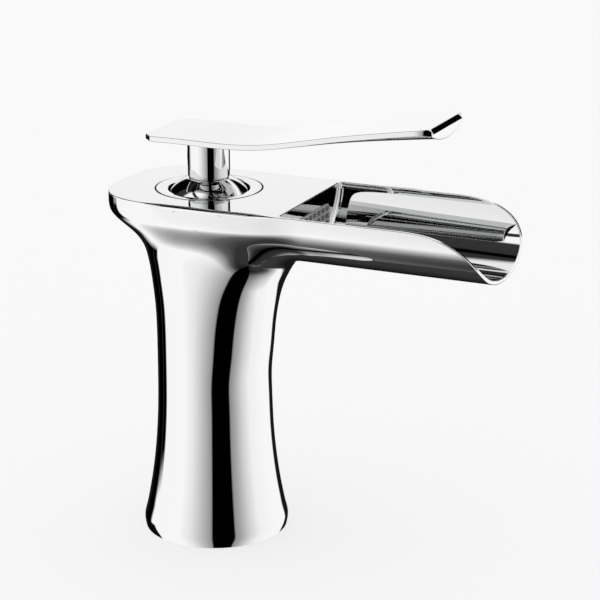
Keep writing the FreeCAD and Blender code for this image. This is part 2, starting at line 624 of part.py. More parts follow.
def make_nut():
    """Retaining nut with four notches for a pin spanner."""
    ring = turned("nut_ring", ring_corners("Sizes.neck_radius + 0.2", "Sizes.nut_radius", NUT_SEAT,
                                           NUT_SEAT + " + Sizes.nut_height"))
    notches = []
    for i in range(2):
        notch = doc.addObject("Part::Box", "nut_notch_%d" % i)
        notch.Placement = FreeCAD.Placement(V(), FreeCAD.Rotation(V(0, 0, 1), 90 * i))
        half = "Sizes.nut_notch_width / 2"
        along = "-Sizes.valve_setback - 20" if i == 0 else "%s - Sizes.valve_setback" % half
        aside = "-" + half if i == 0 else "-20"
        bind(notch, Length="40", Width="Sizes.nut_notch_width", Height="Sizes.nut_notch_depth + 1",
             x=along, y=aside, z=NUT_SEAT + " + Sizes.nut_height - Sizes.nut_notch_depth")
        notches.append(notch)
    piece("retaining_nut", cut("nut", ring, notches))


def make_trim_ring():
    """Trim ring whose inside is a ball seat about the dome."""
    seat = DECK + " - Sizes.ring_flange"
    blank = turned("ring_blank", [
        ("5.0", seat + " - Sizes.ring_skirt"),
        ("Sizes.socket_radius - Sizes.running_fit", seat + " - Sizes.ring_skirt"),
        ("Sizes.socket_radius - Sizes.running_fit", seat),
        ("Sizes.ring_radius", seat),
        ("Sizes.ring_radius", DECK + " - 0.25"),
        ("Sizes.ring_radius - 0.25", DECK),
        ("Sizes.ring_radius - 2.2", DECK),
        ("5.0", DECK + " - 1.8"),
    ])
    hollow = ball("ring_hollow", "Sizes.dome_radius + Sizes.dome_clearance", PIVOT)
    piece("trim_ring", cut("ring", blank, [hollow]))


def make_dome():
    """Ball-shaped dome shell under the stem, with its spring clip."""
    seat = "(%s + sqrt(Sizes.dome_radius ^ 2 - (Sizes.stem_radius + 0.2) ^ 2))" % PIVOT
    outer = ball("dome_outer", "Sizes.dome_radius", PIVOT, "Sizes.dome_rim_angle")
    inner = ball("dome_inner", "Sizes.dome_radius - Sizes.dome_wall", PIVOT)
    shell = cut("dome_shell", outer, [inner])
    web = cylinder("dome_web", "Sizes.stem_radius + 2", "Sizes.dome_wall * 1.6", AXIS_X, "0",
                   seat + " - Sizes.dome_wall * 1.6")
    inside = common("dome_web_inside", web, ball("dome_limit", "Sizes.dome_radius - 0.05", PIVOT))
    blank = union("dome_blank", [shell, inside])
    tools = [
        cylinder("dome_flat", "30", "30", AXIS_X, "0", seat),
        cylinder("dome_hole", "Sizes.spigot_radius + 0.05", "60", AXIS_X, "0", PIVOT),
    ]
    piece("handle_dome", cut("dome", blank, tools))
    clip_top = "(%s - Sizes.dome_wall * 1.6 - 0.02)" % seat
    outer_ring = cylinder("clip_outer", "Sizes.spigot_radius + 1.6", "Sizes.clip_thickness", AXIS_X, "0",
                          clip_top + " - Sizes.clip_thickness")
    inner_ring = cylinder("clip_inner", "Sizes.spigot_radius - 0.6", "10", AXIS_X, "0", clip_top + " - 5")
    gap = block("clip_gap", "10", "3", "10", "-Sizes.valve_setback - 12", "-1.5", clip_top + " - 5")
    piece("dome_clip", cut("clip", outer_ring, [inner_ring, gap]))
    return seat, clip_top


# Lever: share of the way from rear edge to tip, and the share of its rise there.
LEVER_STATIONS = (
    (0.00, 0.000),
    (0.15, 0.006),
    (0.28, 0.000),
    (0.40, 0.066),
    (0.52, 0.245),
    (0.68, 0.530),
    (0.84, 0.776),
    (1.00, 1.000),
)


def lever_plate():
    """Thin lever that sweeps up towards its tip, flat on top and bellied below."""
    rear = -number("Sizes.valve_setback + Sizes.lever_rear_reach")
    tip = -number("Sizes.valve_setback") + number("Sizes.lever_front_reach")
    base_width = number("Sizes.lever_half_width")
    widening = number("Sizes.lever_widening")
    thick = number("Sizes.lever_thickness")
    top_low = number(DECK + " + Sizes.stem_height") + thick
    rise = number("Sizes.lever_rise")
    sag = number("Sizes.lever_sag")
    wires = []
    for along, lift in LEVER_STATIONS:
        x = rear + (tip - rear) * along
        w = base_width + widening * along
        top = top_low + rise * lift
        low = top - thick
        belly = low - 0.05 - sag * max(0.0, (along - 0.25) / 0.75)
        corners = [V(x, -w, top), V(x, w, top), V(x, w, low), V(x, -w, low)]
        wires.append(Part.Wire([
            Part.makeLine(corners[0], corners[1]),
            Part.makeLine(corners[1], corners[2]),
            Part.Arc(corners[2], V(x, 0, belly), corners[3]).toShape(),
            Part.makeLine(corners[3], corners[0]),
        ]))
    return Part.makeLoft(wires, True, False)


def make_lever(seat, clip_top):
    """Lever plate and stem in one piece, with the spindle socket and screw hole."""
    plate = shaped("lever_plate", lever_plate())
    stem = cylinder("lever_stem", "Sizes.stem_radius", DECK + " + Sizes.stem_height + 0.9 - " + seat,
                    AXIS_X, "0", seat)
    spigot = cylinder("lever_spigot", "Sizes.spigot_radius", "Sizes.spigot_length + 1", AXIS_X, "0",
                      seat + " - Sizes.spigot_length")
    blank = union("lever_blank", [plate, stem, spigot])
    bevel = doc.addObject("Part::Box", "tip_bevel")
    bevel.Placement = FreeCAD.Placement(V(), FreeCAD.Rotation(V(0, 1, 0), 45))
    bind(bevel, Length="20", Width="60", Height="20",
         x="-Sizes.valve_setback + Sizes.lever_front_reach - Sizes.lever_tip_bevel",
         y="-30", z=DECK + " + Sizes.stem_height + Sizes.lever_thickness + Sizes.lever_rise")
    socket = block("spindle_socket", "Sizes.spindle_length_along + 0.1", "Sizes.spindle_width + 0.1",
                   DECK + " + Sizes.spindle_top + 0.5 - " + PIVOT,
                   "-Sizes.valve_setback - Sizes.spindle_length_along / 2 - 0.05",
                   "-Sizes.spindle_width / 2 - 0.05", PIVOT)
    screw_z = DECK + " + Sizes.screw_height"
    hole = cylinder("screw_hole", "Sizes.screw_radius + 0.03", "Sizes.stem_radius + 2", AXIS_X, "0", screw_z,
                    V(-1, 0, 0))
    groove_outer = cylinder("clip_groove_outer", "Sizes.spigot_radius + 3", "Sizes.clip_thickness + 0.1",
                            AXIS_X, "0", clip_top + " - Sizes.clip_thickness - 0.05")
    groove_inner = cylinder("clip_groove_inner", "Sizes.spigot_radius - 0.65", "10", AXIS_X, "0",
                            clip_top + " - 5")
    groove = cut("clip_groove", groove_outer, [groove_inner])
    piece("handle_lever", cut("lever", blank, [bevel, socket, hole, groove]))

    screw_start = "-Sizes.valve_setback - Sizes.spindle_length_along / 2 - 0.06"
    screw = cylinder("screw_rod", "Sizes.screw_radius", "Sizes.screw_length", screw_start, "0", screw_z,
                     V(-1, 0, 0))
    hexagon = doc.addObject("Part::Prism", "screw_hexagon")
    hexagon.Polygon = 6
    hexagon.Placement = FreeCAD.Placement(V(), FreeCAD.Rotation(V(0, 0, 1), V(-1, 0, 0)))
    bind(hexagon, Circumradius="1.4", Height="5", y="0", z=screw_z,
         x=screw_start + " - Sizes.screw_length + 1.8")
    piece("handle_screw", cut("grub_screw", screw, [hexagon]))
    plug_blank = cylinder("plug_rod", "Sizes.screw_radius", "Sizes.plug_thickness + 3",
                          "-Sizes.valve_setback - Sizes.stem_radius + Sizes.plug_thickness", "0", screw_z,
                          V(-1, 0, 0))
    flush = cylinder("plug_limit", "Sizes.stem_radius + 0.15", "30", AXIS_X, "0", screw_z + " - 15")
    piece("index_plug", common("plug", plug_blank, flush))


def check(item):
    """Stop if a document object failed to recompute."""
    bad = [s for s in item.State if s in ("Invalid", "Error")]
    if bad:
        raise RuntimeError("%s: %s" % (item.Name, bad))


def main():
    """Build every sub-part, check it and write its STEP file."""
    make_casting()
    make_bosses()
    make_base_gasket()
    make_grille()
    make_housing()
    make_cartridge_base()
    make_discs()
    make_collar()
    make_spindle()
    make_nut()
    make_trim_ring()
    seat, clip_top = make_dome()
    make_lever(seat, clip_top)
    doc.recompute()
    for item in doc.Objects:
        check(item)
    os.makedirs("parts", exist_ok=True)
    for label, item in parts.items():
        shape = item.Shape
        if shape.isNull() or not shape.isValid():
            raise RuntimeError("%s has no valid shape" % label)
        shape.exportStep("parts/%s.step" % label)
        print("%-20s %10.1f mm3 %2d solids" % (label, shape.Volume, len(shape.Solids)))


main()
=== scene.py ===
"""Looks of a chrome waterfall basin tap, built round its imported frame.

Lengths in the classes below are millimetres in the row frame: +Z up from the
basin, +X along the spout, the origin in the middle of the foot.  Meshes are
grown row by row with bmesh operators and scaled to metres as they are placed.
"""

import json
import logging
import math
from collections.abc import Callable
from dataclasses import dataclass, field
from enum import Enum, IntEnum
from functools import partial

import bmesh
import bpy
import numpy as np
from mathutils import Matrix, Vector

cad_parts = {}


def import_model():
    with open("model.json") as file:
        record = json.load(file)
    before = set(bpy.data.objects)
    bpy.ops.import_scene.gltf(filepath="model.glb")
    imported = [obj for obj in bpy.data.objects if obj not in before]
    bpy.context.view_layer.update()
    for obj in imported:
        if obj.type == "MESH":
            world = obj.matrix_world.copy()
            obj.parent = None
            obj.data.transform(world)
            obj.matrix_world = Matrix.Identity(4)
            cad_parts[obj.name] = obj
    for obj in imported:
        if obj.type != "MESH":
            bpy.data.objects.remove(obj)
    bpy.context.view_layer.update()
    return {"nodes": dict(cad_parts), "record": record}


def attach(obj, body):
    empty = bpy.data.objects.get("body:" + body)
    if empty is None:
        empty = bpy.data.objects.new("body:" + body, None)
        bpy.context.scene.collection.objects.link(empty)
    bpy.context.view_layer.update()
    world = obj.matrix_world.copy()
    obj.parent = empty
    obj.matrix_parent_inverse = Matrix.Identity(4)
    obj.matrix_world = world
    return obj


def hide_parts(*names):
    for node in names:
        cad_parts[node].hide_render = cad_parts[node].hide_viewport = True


LOG = logging.getLogger("basin_tap")
MM = 0.001
DECK = 120.5
VALVE_X = -1.4
PIVOT = 108.5
MERGE = 2e-6
NEAR = 1e-6
TINY = 1e-9
SMOOTH_ANGLE = math.radians(32)
FLAT_WEIGHT = 60
GRAIN_DETAIL = 3.0
PATCH_SCALE = 38.0
PATCH_DETAIL = 2.0
QUARTER = math.pi / 2
UP = np.array([0.0, 0.0, 1.0])
FORWARD = np.array([1.0, 0.0, 0.0])
MIRROR = np.array([1, -1, 1])


class Body(Enum):
    """Bodies that carry the pieces made here."""

    TAP = "tap_body"
    HANDLE = "handle"


class Face(IntEnum):
    """Material slots of the casting."""

    CHROME = 0
    TROUGH = 1
    # near-black painted shade in the trim ring's recess and the socket and chamber below it
    SHADED_RECESS = 2
    BORE = 3


# ------------------------------------------------------------------ geometry
class Spline:
    """Natural cubic curve through a few stations."""

    def __init__(self, places: list, values: list) -> None:
        """Solve the curve's bending at each station.

        Args:
            places: station places, rising.
            values: the curve's value at each station.
        """
        self.places = np.array(places, float)
        self.values = np.array(values, float)
        count = len(places)
        step = np.diff(self.places)
        slope = np.diff(self.values) / step
        system = np.eye(count)
        target = np.zeros(count)
        for i in range(1, count - 1):
            system[i, i - 1] = step[i - 1]
            system[i, i] = 2 * (step[i - 1] + step[i])
            system[i, i + 1] = step[i]
            target[i] = 6 * (slope[i] - slope[i - 1])
        self.bend = np.linalg.solve(system, target)

    def __call__(self, place: np.ndarray) -> np.ndarray:
        """Value of the curve, held level past its ends.

        Args:
            place: one place or an array of them.

        Returns:
            The values there.
        """
        place = np.clip(place, self.places[0], self.places[-1])
        i = np.clip(np.searchsorted(self.places, place) - 1, 0, len(self.places) - 2)
        low, high = self.places[i], self.places[i + 1]
        step = high - low
        a = (high - place) / step
        b = (place - low) / step
        bent = (a ** 3 - a) * self.bend[i] + (b ** 3 - b) * self.bend[i + 1]
        return a * self.values[i] + b * self.values[i + 1] + bent * step ** 2 / 6


@dataclass
class Row:
    """One row of a growing mesh: its vertices in order and its edges."""

    verts: list
    edges: list


class RowMesh:
    """Grows a mesh row by row, each row extruded from the one before."""

    def __init__(self) -> None:
        """Start with an empty mesh."""
        self.bm = bmesh.new()
        self.order = self.bm.verts.layers.int.new("order")

    def start(self, points: np.ndarray, closed: bool) -> Row:
        """Lay the first row.

        Args:
            points: the row's points, in millimetres.
            closed: whether the row is a ring.

        Returns:
            The row.
        """
        made = bmesh.ops.create_circle(self.bm, segments=len(points), radius=1.0)
        verts = made["verts"]
        for i, vert in enumerate(verts):
            vert.co = Vector(points[i]) * MM
            vert[self.order] = i
        ring = {e for v in verts for e in v.link_edges}
        if not closed:
            last = [e for e in ring if verts[0] in e.verts and verts[-1] in e.verts]
            ring -= set(last)
            bmesh.ops.delete(self.bm, geom=last, context="EDGES_FACES")
        return Row(verts, list(ring))

    def grow(self, row: Row, points: np.ndarray) -> Row:
        """Extrude a row and lay the new one on its points.

        Args:
            row: the row to extrude.
            points: the new row's points, in millimetres.

        Returns:
            The new row.
        """
        made = bmesh.ops.extrude_edge_only(self.bm, edges=row.edges)["geom"]
        verts = [g for g in made if isinstance(g, bmesh.types.BMVert)]
        verts.sort(key=lambda v: v[self.order])
        for vert, point in zip(verts, points):
            vert.co = Vector(point) * MM
        own = set(verts)
        edges = [g for g in made if isinstance(g, bmesh.types.BMEdge) and own.issuperset(g.verts)]
        return Row(verts, edges)

    def sheet(self, rows: list, closed: bool = False, slot: int = 0) -> Row:
        """Grow a whole sheet.

        Args:
            rows: arrays of points, one per row.
            closed: whether each row is a ring.
            slot: material slot of its faces.

        Returns:
            The last row.
        """
        before = set(self.bm.faces)
        row = self.start(rows[0], closed)
        for points in rows[1:]:
            row = self.grow(row, points)
        for face in set(self.bm.faces) - before:
            face.material_index = slot
        return row

    def cap(self, row: Row, slot: int = 0) -> None:
        """Close a ring with one face."""
        for face in bmesh.ops.contextual_create(self.bm, geom=row.edges)["faces"]:
            face.material_index = slot

    def merge(self) -> None:
        """Join points that lie on each other."""
        bmesh.ops.remove_doubles(self.bm, verts=self.bm.verts, dist=MERGE)

    def fill_plane(self, axis: int, place: float) -> None:
        """Fill what is still open in one plane.

        Args:
            axis: 0, 1 or 2 for X, Y or Z.
            place: the plane's place along that axis, in millimetres.
        """
        rim = [e for e in self.bm.edges if len(e.link_faces) == 1
               and all(abs(v.co[axis] - place * MM) < MERGE for v in e.verts)]
        bmesh.ops.triangle_fill(self.bm, edges=rim, use_beauty=True, use_dissolve=False)

    def piece(self, name: str, angle: float = SMOOTH_ANGLE) -> bpy.types.Object:
        """Turn the mesh into an object with smooth shading and sharp edges.

        Args:
            name: the piece's name.
            angle: edges that turn more than this stay sharp.

        Returns:
            The object.
        """
        bmesh.ops.recalc_face_normals(self.bm, faces=self.bm.faces)
        self.bm.verts.layers.int.remove(self.order)
        mesh = bpy.data.meshes.new(name)
        self.bm.to_mesh(mesh)
        self.bm.free()
        return finished(name, mesh, angle)


def finished(name: str, mesh: bpy.types.Mesh, angle: float = SMOOTH_ANGLE) -> bpy.types.Object:
    """Make an object whose flat faces stay flat next to its rounded edges.

    Args:
        name: the piece's name.
        mesh: its mesh.
        angle: edges that turn more than this stay sharp.

    Returns:
        The object.
    """
    for polygon in mesh.polygons:
        polygon.use_smooth = True
    mesh.set_sharp_from_angle(angle=angle)
    piece = bpy.data.objects.new(name, mesh)
    bpy.context.collection.objects.link(piece)
    weighted = piece.modifiers.new("flat_faces", "WEIGHTED_NORMAL")
    weighted.keep_sharp = True
    weighted.weight = FLAT_WEIGHT
    return piece


def ring_of(radius: float, height: float, count: int, centre: float = 0.0) -> np.ndarray:
    """Points of a level ring.

    Args:
        radius: its radius.
        height: its height.
        count: number of points.
        centre: its middle along X.

    Returns:
        The points.
    """
    angle = np.linspace(0, 2 * math.pi, count, endpoint=False)
    return np.stack([centre + radius * np.cos(angle), radius * np.sin(angle), np.full(count, height)], 1)


def between(start: np.ndarray, end: np.ndarray, shares: np.ndarray) -> list:
    """Rows that pass from one row to another."""
    return [start + (end - start) * share for share in shares]


def hang(rows: list, hem: np.ndarray) -> None:
    """Put the ends of open rows on a hem and on its mirror image.

    Args:
        rows: the rows, changed in place.
        hem: one point for each row.
    """
    for points, spot in zip(rows, hem):
        points[0] = spot
        points[-1] = spot * MIRROR


def unit(vectors: np.ndarray) -> np.ndarray:
    """Vectors brought to length one."""
    return vectors / np.maximum(np.linalg.norm(vectors, axis=1), TINY)[:, None]


def eased(share: np.ndarray) -> np.ndarray:
    """Share that starts and ends gently."""
    return share * share * (3 - 2 * share)


def rounded(radius: float, steps: int) -> list:
    """Steps of a rounded edge from its first face to its second.

    Args:
        radius: radius of the edge.
        steps: number of steps.

    Returns:
        Pairs of distance still to go along the first face and distance gone along the second.
    """
    turns = np.linspace(0, QUARTER, steps + 1)
    return [(radius * (1 - math.sin(t)), radius * (1 - math.cos(t))) for t in turns]


def turned(name: str, profile: list, centre: float, steps: int = 160,
           shaded_below: tuple | None = None) -> bpy.types.Object:
    """Spin a closed profile about a vertical axis.

    Args:
        name: the piece's name.
        profile: (radius, height) pairs in order.
        centre: the axis's place along X.
        steps: number of steps round.
        shaded_below: radius and height below which faces take the second material.

    Returns:
        The object.
    """
    bm = bmesh.new()
    made = bmesh.ops.create_circle(bm, segments=len(profile), radius=1.0)["verts"]
    for vert, (radius, height) in zip(made, profile):
        vert.co = Vector((centre + radius, 0, height)) * MM
    bmesh.ops.spin(bm, geom=bm.verts[:] + bm.edges[:], cent=Vector((centre * MM, 0, 0)), axis=(0, 0, 1),
                   angle=2 * math.pi, steps=steps, use_merge=True)
    bmesh.ops.remove_doubles(bm, verts=bm.verts, dist=MERGE)
    bmesh.ops.recalc_face_normals(bm, faces=bm.faces)
    # faces inside this radius and below this height take the second material, the near-black painted shade
    if shaded_below:
        for face in bm.faces:
            middle = face.calc_center_median() / MM
            if math.hypot(middle.x - centre, middle.y) < shaded_below[0] and middle.z < shaded_below[1]:
                face.material_index = 1
    mesh = bpy.data.meshes.new(name)
    bm.to_mesh(mesh)
    bm.free()
    return finished(name, mesh)


def arc(centre: tuple, radius: float, start: float, end: float, steps: int) -> list:
    """Points of an arc in a profile.

    Args:
        centre: its middle, as (radius, height).
        radius: its radius.
        start: first angle in degrees, 0 outwards and 90 up.
        end: last angle in degrees.
        steps: number of steps.

    Returns:
        (radius, height) pairs.
    """
    turns = np.radians(np.linspace(start, end, steps + 1))
    return [(centre[0] + radius * math.cos(t), centre[1] + radius * math.sin(t)) for t in turns]


# ------------------------------------------------------------------ finishes
class Graph:
    """Adds nodes to a shader tree and links them up."""

    def __init__(self, tree: bpy.types.NodeTree) -> None:
        """Take the tree to add to."""
        self.tree = tree

    def feed(self, node: bpy.types.Node, inputs: dict) -> None:
        """Set or link a node's inputs.

        Args:
            node: the node.
            inputs: a value or an output socket for each input, by name or number.
        """
        for name, given in inputs.items():
            if isinstance(given, bpy.types.NodeSocket):
                self.tree.links.new(given, node.inputs[name])
            else:
                node.inputs[name].default_value = given

    def add(self, kind: str, inputs: dict | None = None, **settings: object) -> bpy.types.bpy_prop_collection:
        """Add one node.

        Args:
            kind: its type, without the leading ShaderNode.
            inputs: as for feed.
            settings: its own settings, which are made before its inputs are fed.

        Returns:
            The node's outputs.
        """
        node = self.tree.nodes.new("ShaderNode" + kind)
        for name, setting in settings.items():
            setattr(node, name, setting)
        self.feed(node, inputs or {})
        return node.outputs

    def maths(self, operation: str, *inputs: object) -> bpy.types.NodeSocket:
        """Result of a Math node."""
        return self.add("Math", dict(enumerate(inputs)), operation=operation)[0]

    def scaled(self, colour: object, share: object) -> bpy.types.NodeSocket:
        """Colour times a share."""
        return self.add("VectorMath", {0: colour, "Scale": share}, operation="SCALE")["Vector"]

    def blend(self, share: object, first: object, second: object) -> bpy.types.NodeSocket:
        """Colour that passes from the first to the second as the share rises."""
        return self.add("Mix", {0: share, 6: first, 7: second}, data_type="RGBA")[2]


def new_material(name: str) -> tuple:
    """Start a node material.

    Args:
        name: the material's name.

    Returns:
        The material, its graph and its shader.
    """
    material = bpy.data.materials.new(name)
    material.use_nodes = True
    return material, Graph(material.node_tree), material.node_tree.nodes["Principled BSDF"]


def grey(value: float) -> tuple:
    """Opaque grey of one brightness."""
    return value, value, value, 1.0


def surface_group() -> bpy.types.NodeTree:
    """Node group that varies colour, gloss and grain over a surface; made once.

    Returns:
        The group.
    """
    name = "surface_variation"
    if name in bpy.data.node_groups:
        return bpy.data.node_groups[name]
    group = bpy.data.node_groups.new(name, "ShaderNodeTree")
    sockets = {"INPUT": (("Colour", "Color"), ("Colour spread", "Float"), ("Roughness", "Float"),
                         ("Roughness spread", "Float"), ("Scale", "Float"), ("Stretch", "Vector")),
               "OUTPUT": (("Colour", "Color"), ("Roughness", "Float"), ("Height", "Float"))}
    for side, rows in sockets.items():
        for socket, kind in rows:
            group.interface.new_socket(socket, in_out=side, socket_type="NodeSocket" + kind)
    graph = Graph(group)
    given = group.nodes.new("NodeGroupInput").outputs
    place = graph.add("TexCoord")["Object"]
    mapped = graph.add("Mapping", {"Vector": place, "Scale": given["Stretch"]})["Vector"]
    grain = graph.add("TexNoise", {"Vector": mapped, "Scale": given["Scale"], "Detail": GRAIN_DETAIL})["Fac"]
    broad = graph.add("TexNoise", {"Vector": place, "Scale": PATCH_SCALE, "Detail": PATCH_DETAIL})["Fac"]
    centred = graph.maths("SUBTRACT", broad, 0.5)
    gloss = graph.add("Math", {0: centred, 1: given["Roughness spread"], 2: given["Roughness"]},
                      operation="MULTIPLY_ADD", use_clamp=True)[0]
    tint = graph.scaled(given["Colour"], graph.maths("MULTIPLY_ADD", centred, given["Colour spread"], 1.0))
    graph.feed(group.nodes.new("NodeGroupOutput"), {"Colour": tint, "Roughness": gloss, "Height": grain})
    return group


@dataclass(frozen=True)
class Finish:
    """One surface finish and the variation that keeps it from looking flat."""

    name: str
    colour: tuple
    metallic: float = 0.0
    roughness: float = 0.4
    roughness_spread: float = 0.1
    colour_spread: float = 0.06
    grain_scale: float = 900.0
    grain_depth: float = 0.0
    stretch: tuple = (1.0, 1.0, 1.0)
    coat: float = 0.0

    def build(self) -> bpy.types.Material:
        """Make the node material.

        Returns:
            The material.
        """
        material, graph, shader = new_material(self.name)
        surface = graph.add("Group", {"Colour": (*self.colour, 1.0), "Colour spread": self.colour_spread,
                                      "Roughness": self.roughness, "Roughness spread": self.roughness_spread,
                                      "Scale": self.grain_scale, "Stretch": self.stretch},
                            node_tree=surface_group())
        graph.feed(shader, {"Metallic": self.metallic, "Coat Weight": self.coat,
                            "Base Color": surface["Colour"], "Roughness": surface["Roughness"]})
        if self.grain_depth > 0:
            bump = graph.add("Bump", {"Distance": self.grain_depth * MM, "Height": surface["Height"]})
            graph.feed(shader, {"Normal": bump["Normal"]})
        return material


@dataclass(frozen=True)
class IndexFinish:
    """Gloss plug whose two halves are red and blue."""

    red: tuple = (0.62, 0.02, 0.02)
    blue: tuple = (0.02, 0.08, 0.55)
    roughness: float = 0.22

    def build(self) -> bpy.types.Material:
        """Make the two-colour material.

        Returns:
            The material.
        """
        material, graph, shader = new_material("index_plug_gloss")
        across = graph.add("SeparateXYZ", {0: graph.add("TexCoord")["Object"]})["Y"]
        colour = graph.blend(graph.maths("GREATER_THAN", across, 0.0), (*self.blue, 1.0), (*self.red, 1.0))
        graph.feed(shader, {"Roughness": self.roughness, "Base Color": colour})
        return material


CHROME = Finish("polished_chrome", (0.70, 0.703, 0.706), metallic=1.0, roughness=0.018, roughness_spread=0.02,
                colour_spread=0.012)
TROUGH_CHROME = Finish("trough_chrome", (0.70, 0.703, 0.706), metallic=1.0, roughness=0.025, roughness_spread=0.02,
                       colour_spread=0.012)
# Painted shade: near-black put in the gap round the trim ring, its seat and the hollows below it, where there is
# only shade.
PAINTED_GAP_SHADE = Finish("painted_gap_shade", (0.010, 0.010, 0.010), roughness=0.85, roughness_spread=0.1,
                   grain_scale=1800, grain_depth=0.02)
GRILLE_PLASTIC = Finish("grille_moulding", (0.40, 0.40, 0.41), roughness=0.42, roughness_spread=0.2,
                        grain_scale=2600, grain_depth=0.01)
SEAL_RUBBER = Finish("seal_rubber", (0.022, 0.022, 0.023), roughness=0.72, roughness_spread=0.25,
                     colour_spread=0.3, grain_scale=1800, grain_depth=0.02)
CARTRIDGE_PLASTIC = Finish("cartridge_moulding", (0.76, 0.76, 0.73), roughness=0.38, roughness_spread=0.15,
                           grain_scale=1600, grain_depth=0.008, coat=0.1)
CERAMIC = Finish("lapped_ceramic", (0.90, 0.89, 0.86), roughness=0.16, roughness_spread=0.08,
                 grain_scale=3200, grain_depth=0.002, coat=0.3)
RAW_BRASS = Finish("machined_brass", (0.80, 0.62, 0.30), metallic=1.0, roughness=0.26, roughness_spread=0.18,
                   grain_scale=900, grain_depth=0.006, stretch=(0.2, 0.2, 6.0))
STEEL = Finish("bright_steel", (0.62, 0.62, 0.63), metallic=1.0, roughness=0.24, roughness_spread=0.15,
               grain_scale=1200, grain_depth=0.004, stretch=(1.0, 1.0, 5.0))


def dress(piece: bpy.types.Object, *materials: bpy.types.Material) -> None:
    """Fill a piece's material slots in order.

    Args:
        piece: the piece.
        materials: one material for each slot.
    """
    faces = [polygon.material_index for polygon in piece.data.polygons]
    piece.data.materials.clear()
    for material in materials:
        piece.data.materials.append(material)
    for polygon, slot in zip(piece.data.polygons, faces):
        polygon.material_index = slot if slot < len(materials) else 0


# ------------------------------------------------------------------- casting
@dataclass
class Skin:
    """Rows of the casting's outer skin: closed rings from foot to deck, then open rows to the lip."""

    rings: list
    fan: list
    along: np.ndarray
    angles: np.ndarray
    lip: np.ndarray


@dataclass
class Rim:
    """A rounded rim: its rows from the wall to the rim face, and its run along the falling lip."""

    rows: list
    lip: slice


